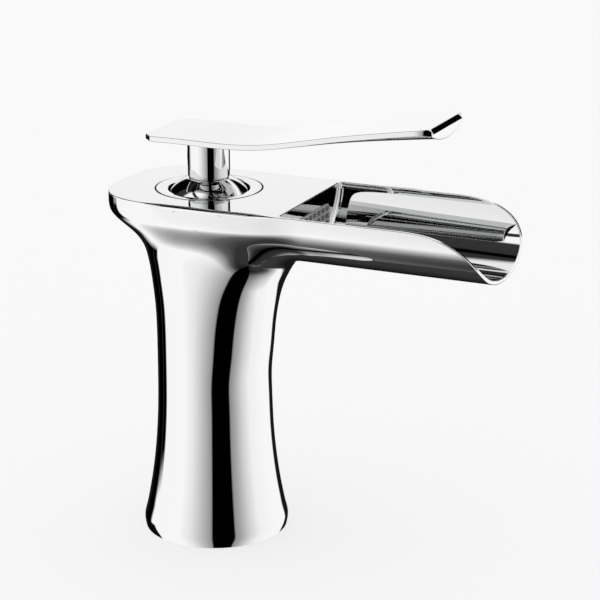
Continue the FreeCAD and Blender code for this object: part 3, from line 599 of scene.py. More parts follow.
@dataclass
class Casting:
    """Sizes and skin of the chrome body: flared column, flat deck and open half-pipe spout."""

    deck: float = DECK
    foot_radius: float = 25.0
    foot_widest: float = 3.5
    foot_tuck: float = 0.4
    waist_radius: float = 19.6
    waist_height: float = 57.0
    deck_rear: float = 33.15
    deck_side: float = 27.75
    deck_front: float = 60.0
    spout_side: float = 26.4
    spout_depth: float = 20.1
    spout_wall: float = 1.4
    spout_nose: float = 30.0
    spout_nose_run: float = 60.0
    reach: float = 103.6
    mouth_run: float = 27.0
    trough_start: float = 35.6
    trough_fillet: float = 1.6
    blend: float = 3.5
    mouth_power: float = 2.5
    outer_edge: float = 0.4
    deck_edge: float = 2.1
    deck_edge_rear: tuple = (-15.0, -4.0)
    deck_edge_front: tuple = (25.0, 36.0)
    inner_edge: float = 0.3
    edge_steps: int = 8
    fan_x: float = 62.0
    fan_z: float = 70.0
    across: int = 97
    rear_points: int = 95
    # share of the height of the foot's widest place, share of the tuck still left there
    foot_round: tuple = (0.4, 0.25)
    foot_rows: int = 9
    column_foot: float = 4.2
    column_rows: int = 52
    deck_rows: int = 34
    spout_rows: int = 22
    lip_rows: int = 26
    lip_crowding: float = 0.9
    fillet_steps: int = 8
    wall_points: int = 48
    mouth_samples: int = 900
    ray_length: float = 90.0
    ray_steps: int = 241
    ray_halvings: int = 34
    valve_x: float = VALVE_X
    recess_radius: float = 18.3
    recess_lead: float = 0.05
    # inner wall of the ring's recess, from which the casting takes the near-black painted shade
    shaded_wall_radius: float = 17.6
    recess_depth: float = 1.6
    recess_steps: int = 4
    recess_sides: int = 160
    window: tuple = (32.0, 8.4, 2.4)
    window_drop: float = 9.2
    window_steps: int = 8
    window_depth: float = 4.5
    passage_depth: float = 12.6
    passage_grow: float = -1.4
    socket: tuple = ((17.6, 1.6), (17.6, 16.0), (15.06, 16.0), (15.06, 21.5), (12.65, 21.5), (12.65, 32.5))
    underside: tuple = ((21.9, 0.0), (21.9, 1.8), (18.5, 1.8), (18.5, 0.0), (16.5, 0.0), (16.5, 60.0),
                        (15.3, 60.0), (15.3, 72.0))
    # depth below the deck, share of the flare to the deck, share of the reach into the spout
    upper: tuple = (
        (0.0, 1.000, 1.000), (4.6, 1.000, 0.975), (6.6, 0.958, 0.930), (8.7, 0.844, 0.880),
        (12.9, 0.542, 0.745), (16.8, 0.330, 0.535), (20.0, 0.230, 0.355), (21.8, 0.196, 0.278),
        (24.2, 0.160, 0.222), (27.2, 0.125, 0.178), (30.5, 0.095, 0.136), (34.5, 0.064, 0.099),
        (39.0, 0.034, 0.072), (46.6, 0.008, 0.042), (55.2, 0.000, 0.021),
    )
    lower: tuple = (0.17, 0.36, 0.55, 0.69, 0.80, 0.88, 0.945)
    foot_power: float = 2.4
    curves: dict = field(init=False, default_factory=dict)

    def __post_init__(self) -> None:
        """Lay the smooth profile curves through the stations."""
        spread = self.foot_radius - self.waist_radius
        height, tuck = self.foot_round
        rounds = [(0.0, self.foot_radius - self.foot_tuck),
                  (self.foot_widest * height, self.foot_radius - tuck * self.foot_tuck),
                  (self.foot_widest, self.foot_radius)]
        for share in reversed(self.lower):
            height = self.waist_height - share * (self.waist_height - self.foot_widest)
            rounds.append((height, self.waist_radius + spread * share ** self.foot_power))
        rounds.append((self.waist_height, self.waist_radius))
        places = [z for z, _ in rounds]
        table = {"rear": [r for _, r in rounds], "side": [r for _, r in rounds],
                 "front": [r for _, r in rounds], "power": [2.0] * len(rounds)}
        for depth, flare, run in reversed(self.upper):
            places.append(self.deck - depth)
            table["rear"].append(self.waist_radius + (self.deck_rear - self.waist_radius) * flare)
            table["side"].append(self.waist_radius + (self.deck_side - self.waist_radius) * flare)
            table["front"].append(self.waist_radius + (self.deck_front - self.waist_radius) * run)
            table["power"].append(2.0 + flare)
        self.curves = {name: Spline(places, values) for name, values in table.items()}

    @property
    def inner_side(self) -> float:
        """Half width of the trough."""
        return self.spout_side - self.spout_wall

    @property
    def inner_depth(self) -> float:
        """Depth of the trough."""
        return self.spout_depth - self.spout_wall

    @property
    def corner(self) -> float:
        """Where the fillet of the trough's end wall starts."""
        return self.trough_start + self.trough_fillet

    def outside(self, x: np.ndarray, y: np.ndarray, z: np.ndarray) -> np.ndarray:
        """How far points lie outside the body's skin, the column and spout melted together.

        Args:
            x: places along the spout.
            y: places across it.
            z: heights.

        Returns:
            Distances, negative inside.
        """
        reach = np.where(x > 0, self.curves["front"](z), self.curves["rear"](z))
        power = self.curves["power"](z)
        norm = (np.abs(x / reach) ** power + np.abs(y / self.curves["side"](z)) ** power) ** (1 / power)
        span = np.hypot(x, y)
        column = span - span / np.maximum(norm, TINY)
        drop = self.deck - z
        norm = np.hypot(y / self.spout_side, drop / self.spout_depth)
        span = np.hypot(y, drop)
        spout = span - span / np.maximum(norm, TINY)
        spout = spout + np.maximum(0, self.spout_nose - x) ** 2 / self.spout_nose_run
        near = np.clip(1 - np.abs(column - spout) / self.blend, 0, None)
        return np.minimum(column, spout) - near ** 3 * self.blend / 6

    def hit(self, start: np.ndarray, way: np.ndarray) -> np.ndarray:
        """Where rays from inside the body first leave it.

        Args:
            start: start points, one per ray.
            way: unit directions.

        Returns:
            Points on the skin.
        """
        steps = np.linspace(0, self.ray_length, self.ray_steps)
        trial = start[None] + way[None] * steps[:, None, None]
        out = self.outside(trial[..., 0], trial[..., 1], trial[..., 2]) > 0
        out[0] = False
        first = np.argmax(out, axis=0)
        high = steps[first]
        low = steps[first - 1]
        for _ in range(self.ray_halvings):
            middle = (low + high) / 2
            trial = start + way * middle[:, None]
            beyond = self.outside(trial[:, 0], trial[:, 1], trial[:, 2]) > 0
            high = np.where(beyond, middle, high)
            low = np.where(beyond, low, middle)
        return start + way * low[:, None]

    def mouth_angles(self) -> np.ndarray:
        """Angles round the spout at which rows meet the falling lip, evenly spaced along it.

        Returns:
            Angles from the near rim (-90 degrees) to the far one.
        """
        half_way = math.pi / 3
        top = np.arccos(1 - np.cos(np.linspace(0, half_way, self.mouth_samples)))
        low = np.linspace(half_way, 0, self.mouth_samples)[1:]
        angle = np.concatenate([top, low])
        points = self.mouth(angle, self.spout_side, self.spout_depth)
        length = np.concatenate([[0], np.cumsum(np.linalg.norm(np.diff(points, axis=0), axis=1))])
        half = np.interp(np.linspace(0, length[-1], self.across // 2 + 1), length, angle)
        return np.concatenate([-half, half[-2::-1]])

    def mouth(self, angle: np.ndarray, side: float, depth: float) -> np.ndarray:
        """Points where the falling lip cuts a half-pipe.

        Args:
            angle: angles round the pipe.
            side: half width of the pipe.
            depth: its depth.

        Returns:
            Points on the lip.
        """
        y = side * np.sin(angle)
        drop = depth * np.cos(angle)
        share = np.clip(1 - drop / self.spout_depth, 0, 1)
        power = self.mouth_power
        x = self.reach - self.mouth_run + self.mouth_run * (1 - share ** power) ** (1 / power)
        return np.stack([x, y, self.deck - drop], 1)

    def skin(self) -> Skin:
        """Rows of the outer skin: level on the column, then tilting over into the spout.

        Returns:
            The skin.
        """
        top = self.deck - self.deck_edge
        angles = self.mouth_angles()
        last = np.arctan2(self.spout_side * np.sin(angles), self.spout_depth * np.cos(angles) - self.deck_edge)
        even = np.linspace(-QUARTER, QUARTER, self.across)
        rear = np.linspace(QUARTER, 3 * QUARTER, self.rear_points + 2)[1:-1]
        foot = self.foot_widest * (1 - np.cos(np.linspace(0, QUARTER, self.foot_rows)))
        plain = np.concatenate([foot, np.linspace(self.column_foot, self.fan_z, self.column_rows)])
        rising = np.linspace(self.fan_z, top, self.column_rows)[1:]
        along = np.concatenate([np.linspace(0, self.corner, self.deck_rows)[1:],
                                np.linspace(self.corner, self.fan_x, self.spout_rows)[1:]])
        total = len(rising) + len(along)
        turns = [even + (last - even) * eased(k / total) for k in range(1, total + 1)]
        rings = [self.ring(z, 0.0, even, rear) for z in plain]
        rings += [self.ring(z, math.atan2(z - self.fan_z, self.fan_x), turn, rear)
                  for z, turn in zip(rising, turns)]
        fan = [self.fan(np.array([x, 0, top]), math.atan2(top - self.fan_z, self.fan_x - x), turn)
               for x, turn in zip(along, turns[len(rising):])]
        return Skin(rings, fan, along, angles, self.mouth(angles, self.spout_side, self.spout_depth))

    def edge_radius(self, x: np.ndarray) -> np.ndarray:
        """Radius of the body's outer edge, which swells along the deck.

        Args:
            x: places along the spout.

        Returns:
            The radii.
        """
        share = np.ones(len(x))
        for (start, end), turn in ((self.deck_edge_rear, 1), (self.deck_edge_front, -1)):
            t = eased(np.clip((x - start) / (end - start), 0, 1))
            share *= t if turn > 0 else 1 - t
        return self.outer_edge + (self.deck_edge - self.outer_edge) * share

    def fan(self, centre: np.ndarray, tilt: float, turns: np.ndarray) -> np.ndarray:
        """One row of skin points in a tilted plane.

        Args:
            centre: where the rays start.
            tilt: how far the plane dips forward.
            turns: angles of the rays in the plane.

        Returns:
            Points on the skin.
        """
        way = np.stack([np.cos(turns) * math.cos(tilt), np.sin(turns), -np.cos(turns) * math.sin(tilt)], 1)
        return self.hit(np.repeat(centre[None], len(turns), 0), way)

    def ring(self, z: float, tilt: float, turns: np.ndarray, rear: np.ndarray) -> np.ndarray:
        """One closed ring: a tilted front row and a level rear row."""
        centre = np.array([0, 0, z])
        return np.concatenate([self.fan(centre, tilt, turns), self.fan(centre, 0.0, rear)])

    def mouth_normals(self, points: np.ndarray) -> np.ndarray:
        """Normals of the lip's cut face.

        Args:
            points: points on the lip.

        Returns:
            The normals there.
        """
        power = self.mouth_power - 1
        x = np.maximum(points[:, 0] - (self.reach - self.mouth_run), 0) / self.mouth_run
        z = np.maximum(points[:, 2] - (self.deck - self.spout_depth), 0) / self.spout_depth
        return unit(np.stack([x ** power / self.mouth_run, np.zeros(len(x)), z ** power / self.spout_depth], 1))

    def pipe_normals(self, points: np.ndarray, side: float, depth: float) -> np.ndarray:
        """Outward normals of a half-pipe.

        Args:
            points: points on the pipe.
            side: its half width.
            depth: its depth.

        Returns:
            The normals there.
        """
        across = points[:, 1] / side ** 2
        down = -(self.deck - points[:, 2]) / depth ** 2
        return unit(np.stack([np.zeros(len(points)), across, down], 1))

    def rim(self, edge: np.ndarray, lip: slice, walls: tuple, radius: np.ndarray | float, way: int) -> Rim:
        """Round a sharp edge between a wall and the rim face.

        Args:
            edge: points of the sharp edge, as a closed loop.
            lip: its run along the falling lip.
            walls: half width and depth of the spout's wall.
            radius: radius of the rounding.
            way: 1 for the outside, -1 for the trough's side.

        Returns:
            The rim.
        """
        along = np.roll(edge, -1, 0) - np.roll(edge, 1, 0)
        normal = np.tile(UP, (len(edge), 1))
        normal[lip] = self.mouth_normals(edge[lip])
        skin = unit(way * np.cross(along, UP))
        skin[lip] = way * self.pipe_normals(edge[lip], *walls)
        along = unit(along)
        face = np.cross(along, normal)
        face = unit(face * -np.sign(np.sum(face * skin, 1))[:, None])
        wall = np.cross(along, skin)
        wall = unit(wall * -np.sign(np.sum(wall * normal, 1))[:, None])
        return Rim([edge + (wall * a + face * b) * radius for a, b in rounded(1.0, self.edge_steps)], lip)

    def window_loop(self, grow: float) -> np.ndarray:
        """Rounded rectangle of the outlet window, at x = 0.

        Args:
            grow: how much further out each side lies.

        Returns:
            Its points.
        """
        width, height, radius = self.window
        radius = radius + grow / 2
        half_w = width / 2 + grow - radius
        half_h = height / 2 + grow - radius
        points = []
        for quarter, (sy, sz) in enumerate(((1, 1), (-1, 1), (-1, -1), (1, -1))):
            for turn in np.linspace(0, QUARTER, self.window_steps) + quarter * QUARTER:
                points.append((0.0, sy * half_w + radius * math.cos(turn),
                               self.deck - self.window_drop + sz * half_h + radius * math.sin(turn)))
        return np.array(points)


class CastingMesh:
    """Grows the casting's mesh, one group of faces after another."""

    def __init__(self, sizes: Casting) -> None:
        """Work out the rows of the skin and the two rims.

        Args:
            sizes: the casting's sizes and skin.
        """
        self.sizes = sizes
        self.net = RowMesh()
        self.skin = sizes.skin()
        self.shares = np.linspace(0, 1, sizes.lip_rows + 1)[1:] ** sizes.lip_crowding
        self.near = self.near_edge()
        self.kept = self.near[:, 0] > sizes.corner - NEAR
        self.outer = self.outer_rim()
        self.inner = self.inner_rim()

    def near_edge(self) -> np.ndarray:
        """Sharp edge along the near side, from the middle of the deck to the lip.

        Returns:
            The edge's points.
        """
        sizes, skin = self.sizes, self.skin
        end, side = skin.lip[0][:2]
        edge = [(0, skin.rings[-1][0][1], sizes.deck)]
        edge += [(x, row[0][1], sizes.deck) for x, row in zip(skin.along, skin.fan)]
        edge += [(sizes.fan_x + (end - sizes.fan_x) * s, side, sizes.deck) for s in self.shares[:-1]]
        return np.array(edge)

    def outer_rim(self) -> Rim:
        """Rounded outer edge: near side, lip, far side and the rear of the deck.

        Returns:
            The rim.
        """
        sizes, near, lip = self.sizes, self.near, self.skin.lip
        rear = self.skin.rings[-1][sizes.across:] * np.array([1, 1, 0]) + UP * sizes.deck
        edge = np.concatenate([near, lip, (near * MIRROR)[::-1], rear])
        radius = sizes.edge_radius(edge[:, 0])[:, None]
        return sizes.rim(edge, slice(len(near), len(near) + len(lip)), (sizes.spout_side, sizes.spout_depth),
                         radius, 1)

    def inner_rim(self) -> Rim:
        """Rounded inner edge: near side, lip, far side, and the end wall with its corners.

        Returns:
            The rim.
        """
        sizes = self.sizes
        side, fillet = sizes.inner_side, sizes.trough_fillet
        lip = sizes.mouth(self.skin.angles, side, sizes.inner_depth)
        near = self.near[self.kept] * np.array([1, 0, 1]) + np.array([0, -side, 0])
        turns = self.fillet_turns()[1:]
        bend = np.stack([sizes.corner - fillet * np.sin(turns), side - fillet + fillet * np.cos(turns),
                         np.full(len(turns), sizes.deck)], 1)
        wide = np.linspace(side - fillet, -(side - fillet), sizes.wall_points)[1:-1]
        back = np.stack([np.full(len(wide), sizes.trough_start), wide, np.full(len(wide), sizes.deck)], 1)
        edge = np.concatenate([near, lip, (near * MIRROR)[::-1], bend, back, (bend * MIRROR)[::-1]])
        return sizes.rim(edge, slice(len(near), len(near) + len(lip)), (side, sizes.inner_depth),
                         sizes.inner_edge, -1)

    def fillet_turns(self) -> np.ndarray:
        """Angles of the steps round the end wall's fillet."""
        return np.linspace(0, QUARTER, self.sizes.fillet_steps + 1)

    def outside(self) -> None:
        """Lay the outer skin and its rounded edge."""
        skin, outer = self.skin, self.outer
        count = self.sizes.across
        top = skin.rings[-1]
        hem = outer.rows[0]
        behind = outer.lip.stop + len(self.near) - 1
        self.net.sheet(skin.rings, closed=True)
        self.net.sheet([np.concatenate([top[count - 1:], top[:1]]), np.concatenate([hem[behind:], hem[:1]])])
        rows = [top[:count]] + skin.fan + between(skin.fan[-1], hem[outer.lip], self.shares)
        hang(rows[1:-1], hem[1:])
        self.net.sheet(rows)
        self.net.sheet(outer.rows, closed=True)

    def rim_face(self) -> None:
        """Lay the inner rounded edge and the rim face between the two edges."""
        outer, inner = self.outer, self.inner
        first, count = int(np.argmax(self.kept)), int(self.kept.sum())
        self.net.sheet(inner.rows, closed=True)
        self.net.sheet([outer.rows[-1][first:outer.lip.stop + count], inner.rows[-1][:inner.lip.stop + count]])

    def trough(self) -> None:
        """Lay the inside of the half-pipe and the fillet of its end wall."""
        sizes, skin, inner = self.sizes, self.skin, self.inner
        side, depth, fillet = sizes.inner_side, sizes.inner_depth, sizes.trough_fillet
        angle = skin.angles / QUARTER * math.acos(sizes.inner_edge / depth)
        pipe = np.stack([np.zeros(len(angle)), side * np.sin(angle), sizes.deck - depth * np.cos(angle)], 1)
        pipe[0] = [0, -side, sizes.deck - sizes.inner_edge]
        pipe[-1] = [0, side, sizes.deck - sizes.inner_edge]
        rows = [pipe + FORWARD * x for x in skin.along if x > sizes.corner - NEAR]
        rows += between(rows[-1], inner.rows[0][inner.lip], self.shares)
        hang(rows[:-1], inner.rows[0])
        self.net.sheet(rows, slot=Face.TROUGH)
        inward = -sizes.pipe_normals(pipe, side, depth)
        inward[0] = [0, 1, 0]
        inward[-1] = [0, -1, 0]
        self.net.sheet([pipe + FORWARD * (sizes.corner - fillet * math.sin(turn))
                        + inward * fillet * (1 - math.cos(turn)) for turn in self.fillet_turns()])

    def recess(self) -> None:
        """Lay the trim ring's recess, with the valve's socket and chamber below it; past the recess's rounded lead
        these faces take the near-black painted shade.
        """
        sizes = self.sizes
        rows = [ring_of(sizes.recess_radius + b, sizes.deck - a, sizes.recess_sides, sizes.valve_x)
                for b, a in rounded(sizes.recess_lead, sizes.recess_steps)]
        self.net.sheet(rows, closed=True)
        steps = ((sizes.shaded_wall_radius, sizes.recess_lead), (sizes.shaded_wall_radius, sizes.recess_depth), *sizes.socket)
        rows = rows[-1:] + [ring_of(radius, sizes.deck - drop, sizes.recess_sides, sizes.valve_x)
                            for radius, drop in steps]
        self.net.cap(self.net.sheet(rows, closed=True, slot=Face.SHADED_RECESS), slot=Face.SHADED_RECESS)

    def hollow(self) -> None:
        """Lay the underside and the hollow of the column."""
        first = self.skin.rings[0]
        azimuth = np.arctan2(first[:, 1], first[:, 0])
        rows = [np.stack([radius * np.cos(azimuth), radius * np.sin(azimuth), np.full(len(azimuth), height)], 1)
                for radius, height in self.sizes.underside]
        self.net.sheet([first, rows[0]], closed=True)
        self.net.cap(self.net.sheet(rows, closed=True, slot=Face.BORE), slot=Face.BORE)

    def window(self) -> None:
        """Lay the outlet window and the narrower passage behind it."""
        sizes = self.sizes
        rows = []
        for grow, start, end in ((0.0, 0.0, sizes.window_depth),
                                 (sizes.passage_grow, sizes.window_depth, sizes.passage_depth)):
            loop = sizes.window_loop(grow)
            rows += [loop + FORWARD * (sizes.trough_start - start), loop + FORWARD * (sizes.trough_start - end)]
        self.net.cap(self.net.sheet(rows, closed=True, slot=Face.BORE), slot=Face.BORE)

    def build(self) -> bpy.types.Object:
        """Grow the casting.

        Returns:
            The object.
        """
        self.outside()
        self.rim_face()
        self.trough()
        self.recess()
        self.hollow()
        self.window()
        self.net.merge()
        self.net.fill_plane(2, self.sizes.deck)
        self.net.fill_plane(0, self.sizes.trough_start)
        return self.net.piece("chrome_body")


# --------------------------------------------------------------- ring and dome
@dataclass
class TrimRing:
    """Flat ring let into the deck, with the ball seat inside."""

    deck: float = DECK
    valve_x: float = VALVE_X
    radius: float = 17.72
    flange: float = 1.6
    proud: float = 0.12
    skirt_radius: float = 17.3
    skirt: float = 5.1
    seat_radius: float = 18.1
    pivot: float = PIVOT
    lip_radius: float = 13.83
    lip_fall: float = 0.32
    seat_gap: float = 0.12
    # distance out from the lip and height above it
    lip_steps: tuple = ((0.30, 0.045), (0.14, 0.01), (0.05, -0.05))
    # distance out from the axis and fall below the top
    fall_steps: tuple = ((16.2, 0.0), (15.7, 0.012), (15.2, 0.06))
    # how far inside the skirt and below the top the faces take the near-black painted shade of the gap
    shade_inset: float = 0.02
    shade_drop: float = 0.45
    edge: float = 0.12
    edge_steps: int = 6
    seat_steps: int = 14
    steps: int = 200

    def build(self) -> bpy.types.Object:
        """Spin the ring's profile.

        Returns:
            The object.
        """
        bottom = self.deck - self.skirt
        top = self.deck + self.proud
        lip = top - self.lip_fall
        seat = [math.degrees(math.asin((z - self.pivot) / self.seat_radius)) for z in (lip - self.seat_gap, bottom)]
        profile = [(self.skirt_radius, bottom), (self.skirt_radius, self.deck - self.flange),
                   (self.radius, self.deck - self.flange)]
        profile += arc((self.radius - self.edge, top - self.edge), self.edge, 0, 90, self.edge_steps)
        profile += [(radius, top - fall) for radius, fall in self.fall_steps]
        profile += [(self.lip_radius + out, lip + rise) for out, rise in self.lip_steps]
        profile += arc((0, self.pivot), self.seat_radius, seat[0], seat[1], self.seat_steps)
        # the seat inside the ring takes the near-black painted shade
        return turned("chrome_trim_ring", profile, self.valve_x, self.steps,
                      shaded_below=(self.skirt_radius - self.shade_inset, top - self.shade_drop))


@dataclass
class Dome:
    """Ball-shaped shell under the stem."""

    valve_x: float = VALVE_X
    pivot: float = PIVOT
    radius: float = 17.3
    wall: float = 1.2
    rim_angle: float = 15.0
    seat_radius: float = 7.3
    hole_radius: float = 5.95
    land_depth: float = 1.9
    land_radius: float = 8.6
    inner_radius: float = 8.7
    outer_steps: int = 44
    inner_steps: int = 20
    steps: int = 200

    def build(self) -> bpy.types.Object:
        """Spin the shell's profile.

        Returns:
            The object.
        """
        inner = self.radius - self.wall
        top = math.degrees(math.acos(self.seat_radius / self.radius))
        height = self.pivot + self.radius * math.sin(math.radians(top))
        start = math.degrees(math.asin(self.radius * math.sin(math.radians(self.rim_angle)) / inner))
        profile = arc((0, self.pivot), self.radius, self.rim_angle, top, self.outer_steps)
        profile += [(self.hole_radius, height), (self.hole_radius, height - self.land_depth),
                    (self.land_radius, height - self.land_depth)]
        finish = math.degrees(math.acos(self.inner_radius / inner))
        profile += arc((0, self.pivot), inner, finish, start, self.inner_steps)
        return turned("chrome_dome", profile, self.valve_x, self.steps)


# --------------------------------------------------------------------- lever
@dataclass
class Lever:
    """Thin lever that sweeps up to its tip, with the stem that carries it."""

    valve_x: float = VALVE_X
    underside: float = 137.9
    seat: float = 124.184
    stem_radius: float = 7.1
    stem_edge: float = 0.9
    stem_overlap: float = 0.9
    stem_core: float = 0.01
    stem_steps: int = 8
    curve_start: float = -16.8
    curve_length: float = 99.0
    rear: float = -19.0
    tip: float = 83.5
    half_width: float = 14.6
    widening: float = 0.9
    thickness: float = 1.8
    rise: float = 11.35
    sag: float = 3.5
    sag_start: float = 0.25
    edge: float = 0.32
    edge_points: int = 5
    edge_angle: float = math.radians(24)
    rear_cut: float = 3.2
    cut_points: int = 5
    side_points: int = 92
    tip_turn: float = math.radians(38)
    tip_sweep: float = 8.5
    sweep_points: int = 9
    tip_round: float = 1.2
    round_points: int = 7
    # how far an edge faces forward before the bevel starts, and where it is full
    tip_facing: tuple = (0.50, 0.75)
    bevel_run: float = 1.5
    bevel_fall: float = 1.75
    bevel_points: int = 7
    across: int = 27
    stations: tuple = ((0.00, 0.000), (0.15, 0.006), (0.28, 0.000), (0.40, 0.066), (0.52, 0.245),
                       (0.68, 0.530), (0.84, 0.776), (1.00, 1.000))

    def __post_init__(self) -> None:
        """Lay the smooth curve of the rise."""
        self.lift = Spline([a for a, _ in self.stations], [b for _, b in self.stations])

    def share(self, x: np.ndarray) -> np.ndarray:
        """Share of the lever's length at places along it."""
        return np.clip((x - self.curve_start) / self.curve_length, 0, 1)

    def top(self, x: np.ndarray) -> np.ndarray:
        """Height of the top face."""
        return self.underside + self.thickness + self.rise * self.lift(self.share(x))

    def below(self, x: np.ndarray, y: np.ndarray) -> np.ndarray:
        """Height of the underside, which bellies out towards the tip.

        Args:
            x: places along the lever.
            y: places across it.

        Returns:
            The heights.
        """
        width = self.half_width + self.widening * self.share(x)
        depth = self.sag * np.clip((self.share(x) - self.sag_start) / (1 - self.sag_start), 0, None)
        return self.top(x) - self.thickness - depth * np.clip(1 - (y / width) ** 2, 0, None)

    def outline(self) -> tuple:
        """Plan outline: the near side from rear to tip, the tip, the far side and the rear.

        Returns:
            The outline's points and the number of places along the lever.
        """
        cut = self.rear_cut * np.linspace(0, 1, self.cut_points)
        wide_turn = np.linspace(0, self.tip_turn, self.sweep_points)
        tight_turn = np.linspace(self.tip_turn, QUARTER, self.round_points)[1:]
        run = self.tip_sweep * math.sin(self.tip_turn)
        draw = self.tip_sweep * (1 - math.cos(self.tip_turn))
        forward = np.concatenate([self.tip_sweep * np.sin(wide_turn),
                                  run + self.tip_round * (np.sin(tight_turn) - math.sin(self.tip_turn))])
        inward = np.concatenate([self.tip_sweep * (1 - np.cos(wide_turn)),
                                 draw + self.tip_round * (math.cos(self.tip_turn) - np.cos(tight_turn))])
        straight = np.linspace(self.rear + self.rear_cut, self.tip - forward[-1], self.side_points)[1:-1]
        x = np.concatenate([self.rear + cut, straight, self.tip - forward[-1] + forward])
        y = self.half_width + self.widening * self.share(x)
        y[:len(cut)] -= cut[::-1]
        y[-len(inward):] -= inward
        wide = np.linspace(-1, 1, self.across)[1:-1]
        near = np.stack([x, -y], 1)
        tip = np.stack([np.full(len(wide), x[-1]), wide * y[-1]], 1)
        rear = np.stack([np.full(len(wide), x[0]), -wide * y[0]], 1)
        return np.concatenate([near, tip, near[::-1] * [1, -1], rear]), len(x)

    def build(self) -> bpy.types.Object:
        """Grow the plate from its outline.

        Returns:
            The object.
        """
        outline, count = self.outline()
        along = np.roll(outline, -1, 0) - np.roll(outline, 1, 0)
        normal = unit(np.stack([along[:, 1], -along[:, 0]], 1))
        start, full = self.tip_facing
        tipward = eased(np.clip((normal[:, 0] - start) / (full - start), 0, 1))[:, None]

        def loop(inset: np.ndarray, height: np.ndarray, lower: bool) -> np.ndarray:
            """Lay the outline above the underside or below the top.

            Args:
                inset: how far it is drawn in.
                height: how far it lies above the underside or below the top.
                lower: whether it is laid on the underside.

            Returns:
                The loop's points.
            """
            plan = outline - normal * inset
            if lower:
                z = self.below(plan[:, 0], outline[:, 1]) + height[:, 0]
            else:
                z = self.top(plan[:, 0]) - height[:, 0]
            return np.concatenate([plan, z[:, None]], 1)

        flat = np.ones((len(outline), 1))
        low = [loop(flat * self.edge * (1 - math.sin(t)), flat * self.edge * (1 - math.cos(t)), True)
               for t in np.linspace(0, QUARTER, self.edge_points)]
        high = []
        for t in np.linspace(0, 1, self.bevel_points):
            inset = self.edge * (1 - math.cos(t * QUARTER)) * (1 - tipward) + self.bevel_run * t * tipward
            fall = self.edge * (1 - math.sin(t * QUARTER)) * (1 - tipward) + self.bevel_fall * (1 - t) * tipward
            high.append(loop(inset, fall, False))
        net = RowMesh()
        net.sheet(low + high, closed=True)
        net.sheet(self.spread(high[-1], count, lambda x, y: self.top(x)))
        net.sheet(self.spread(low[0], count, self.below))
        net.merge()
        return net.piece("chrome_lever", self.edge_angle)

    def spread(self, loop: np.ndarray, count: int, height: Callable) -> list:
        """Rows that span a loop from its near to its far side.

        Args:
            loop: the loop's points.
            count: number of places along it.
            height: gives the surface's height at places along and across.

        Returns:
            The rows.
        """
        inner = self.across - 2
        near = loop[:count]
        far = loop[count + inner:2 * count + inner][::-1]
        tip = loop[count:count + inner]
        rear = loop[2 * count + inner:][::-1]
        rows = []
        for i in range(count):
            share = np.linspace(0, 1, self.across)[:, None]
            row = near[i] + (far[i] - near[i]) * share
            row[1:-1, 2] = height(row[1:-1, 0], row[1:-1, 1])
            rows.append(row)
        rows[0][1:-1] = rear
        rows[-1][1:-1] = tip
        return rows

    def stem(self) -> bpy.types.Object:
        """Spin the stem below the plate.

        Returns:
            The object.
        """
        top = self.underside + self.stem_overlap
        shoulder = self.stem_radius - self.stem_edge
        profile = [(self.stem_core, self.seat), (shoulder, self.seat)]
        profile += arc((shoulder, self.seat + self.stem_edge), self.stem_edge, -90, 0, self.stem_steps)
        profile += [(self.stem_radius, top), (self.stem_core, top)]
        return turned("chrome_stem", profile, self.valve_x)


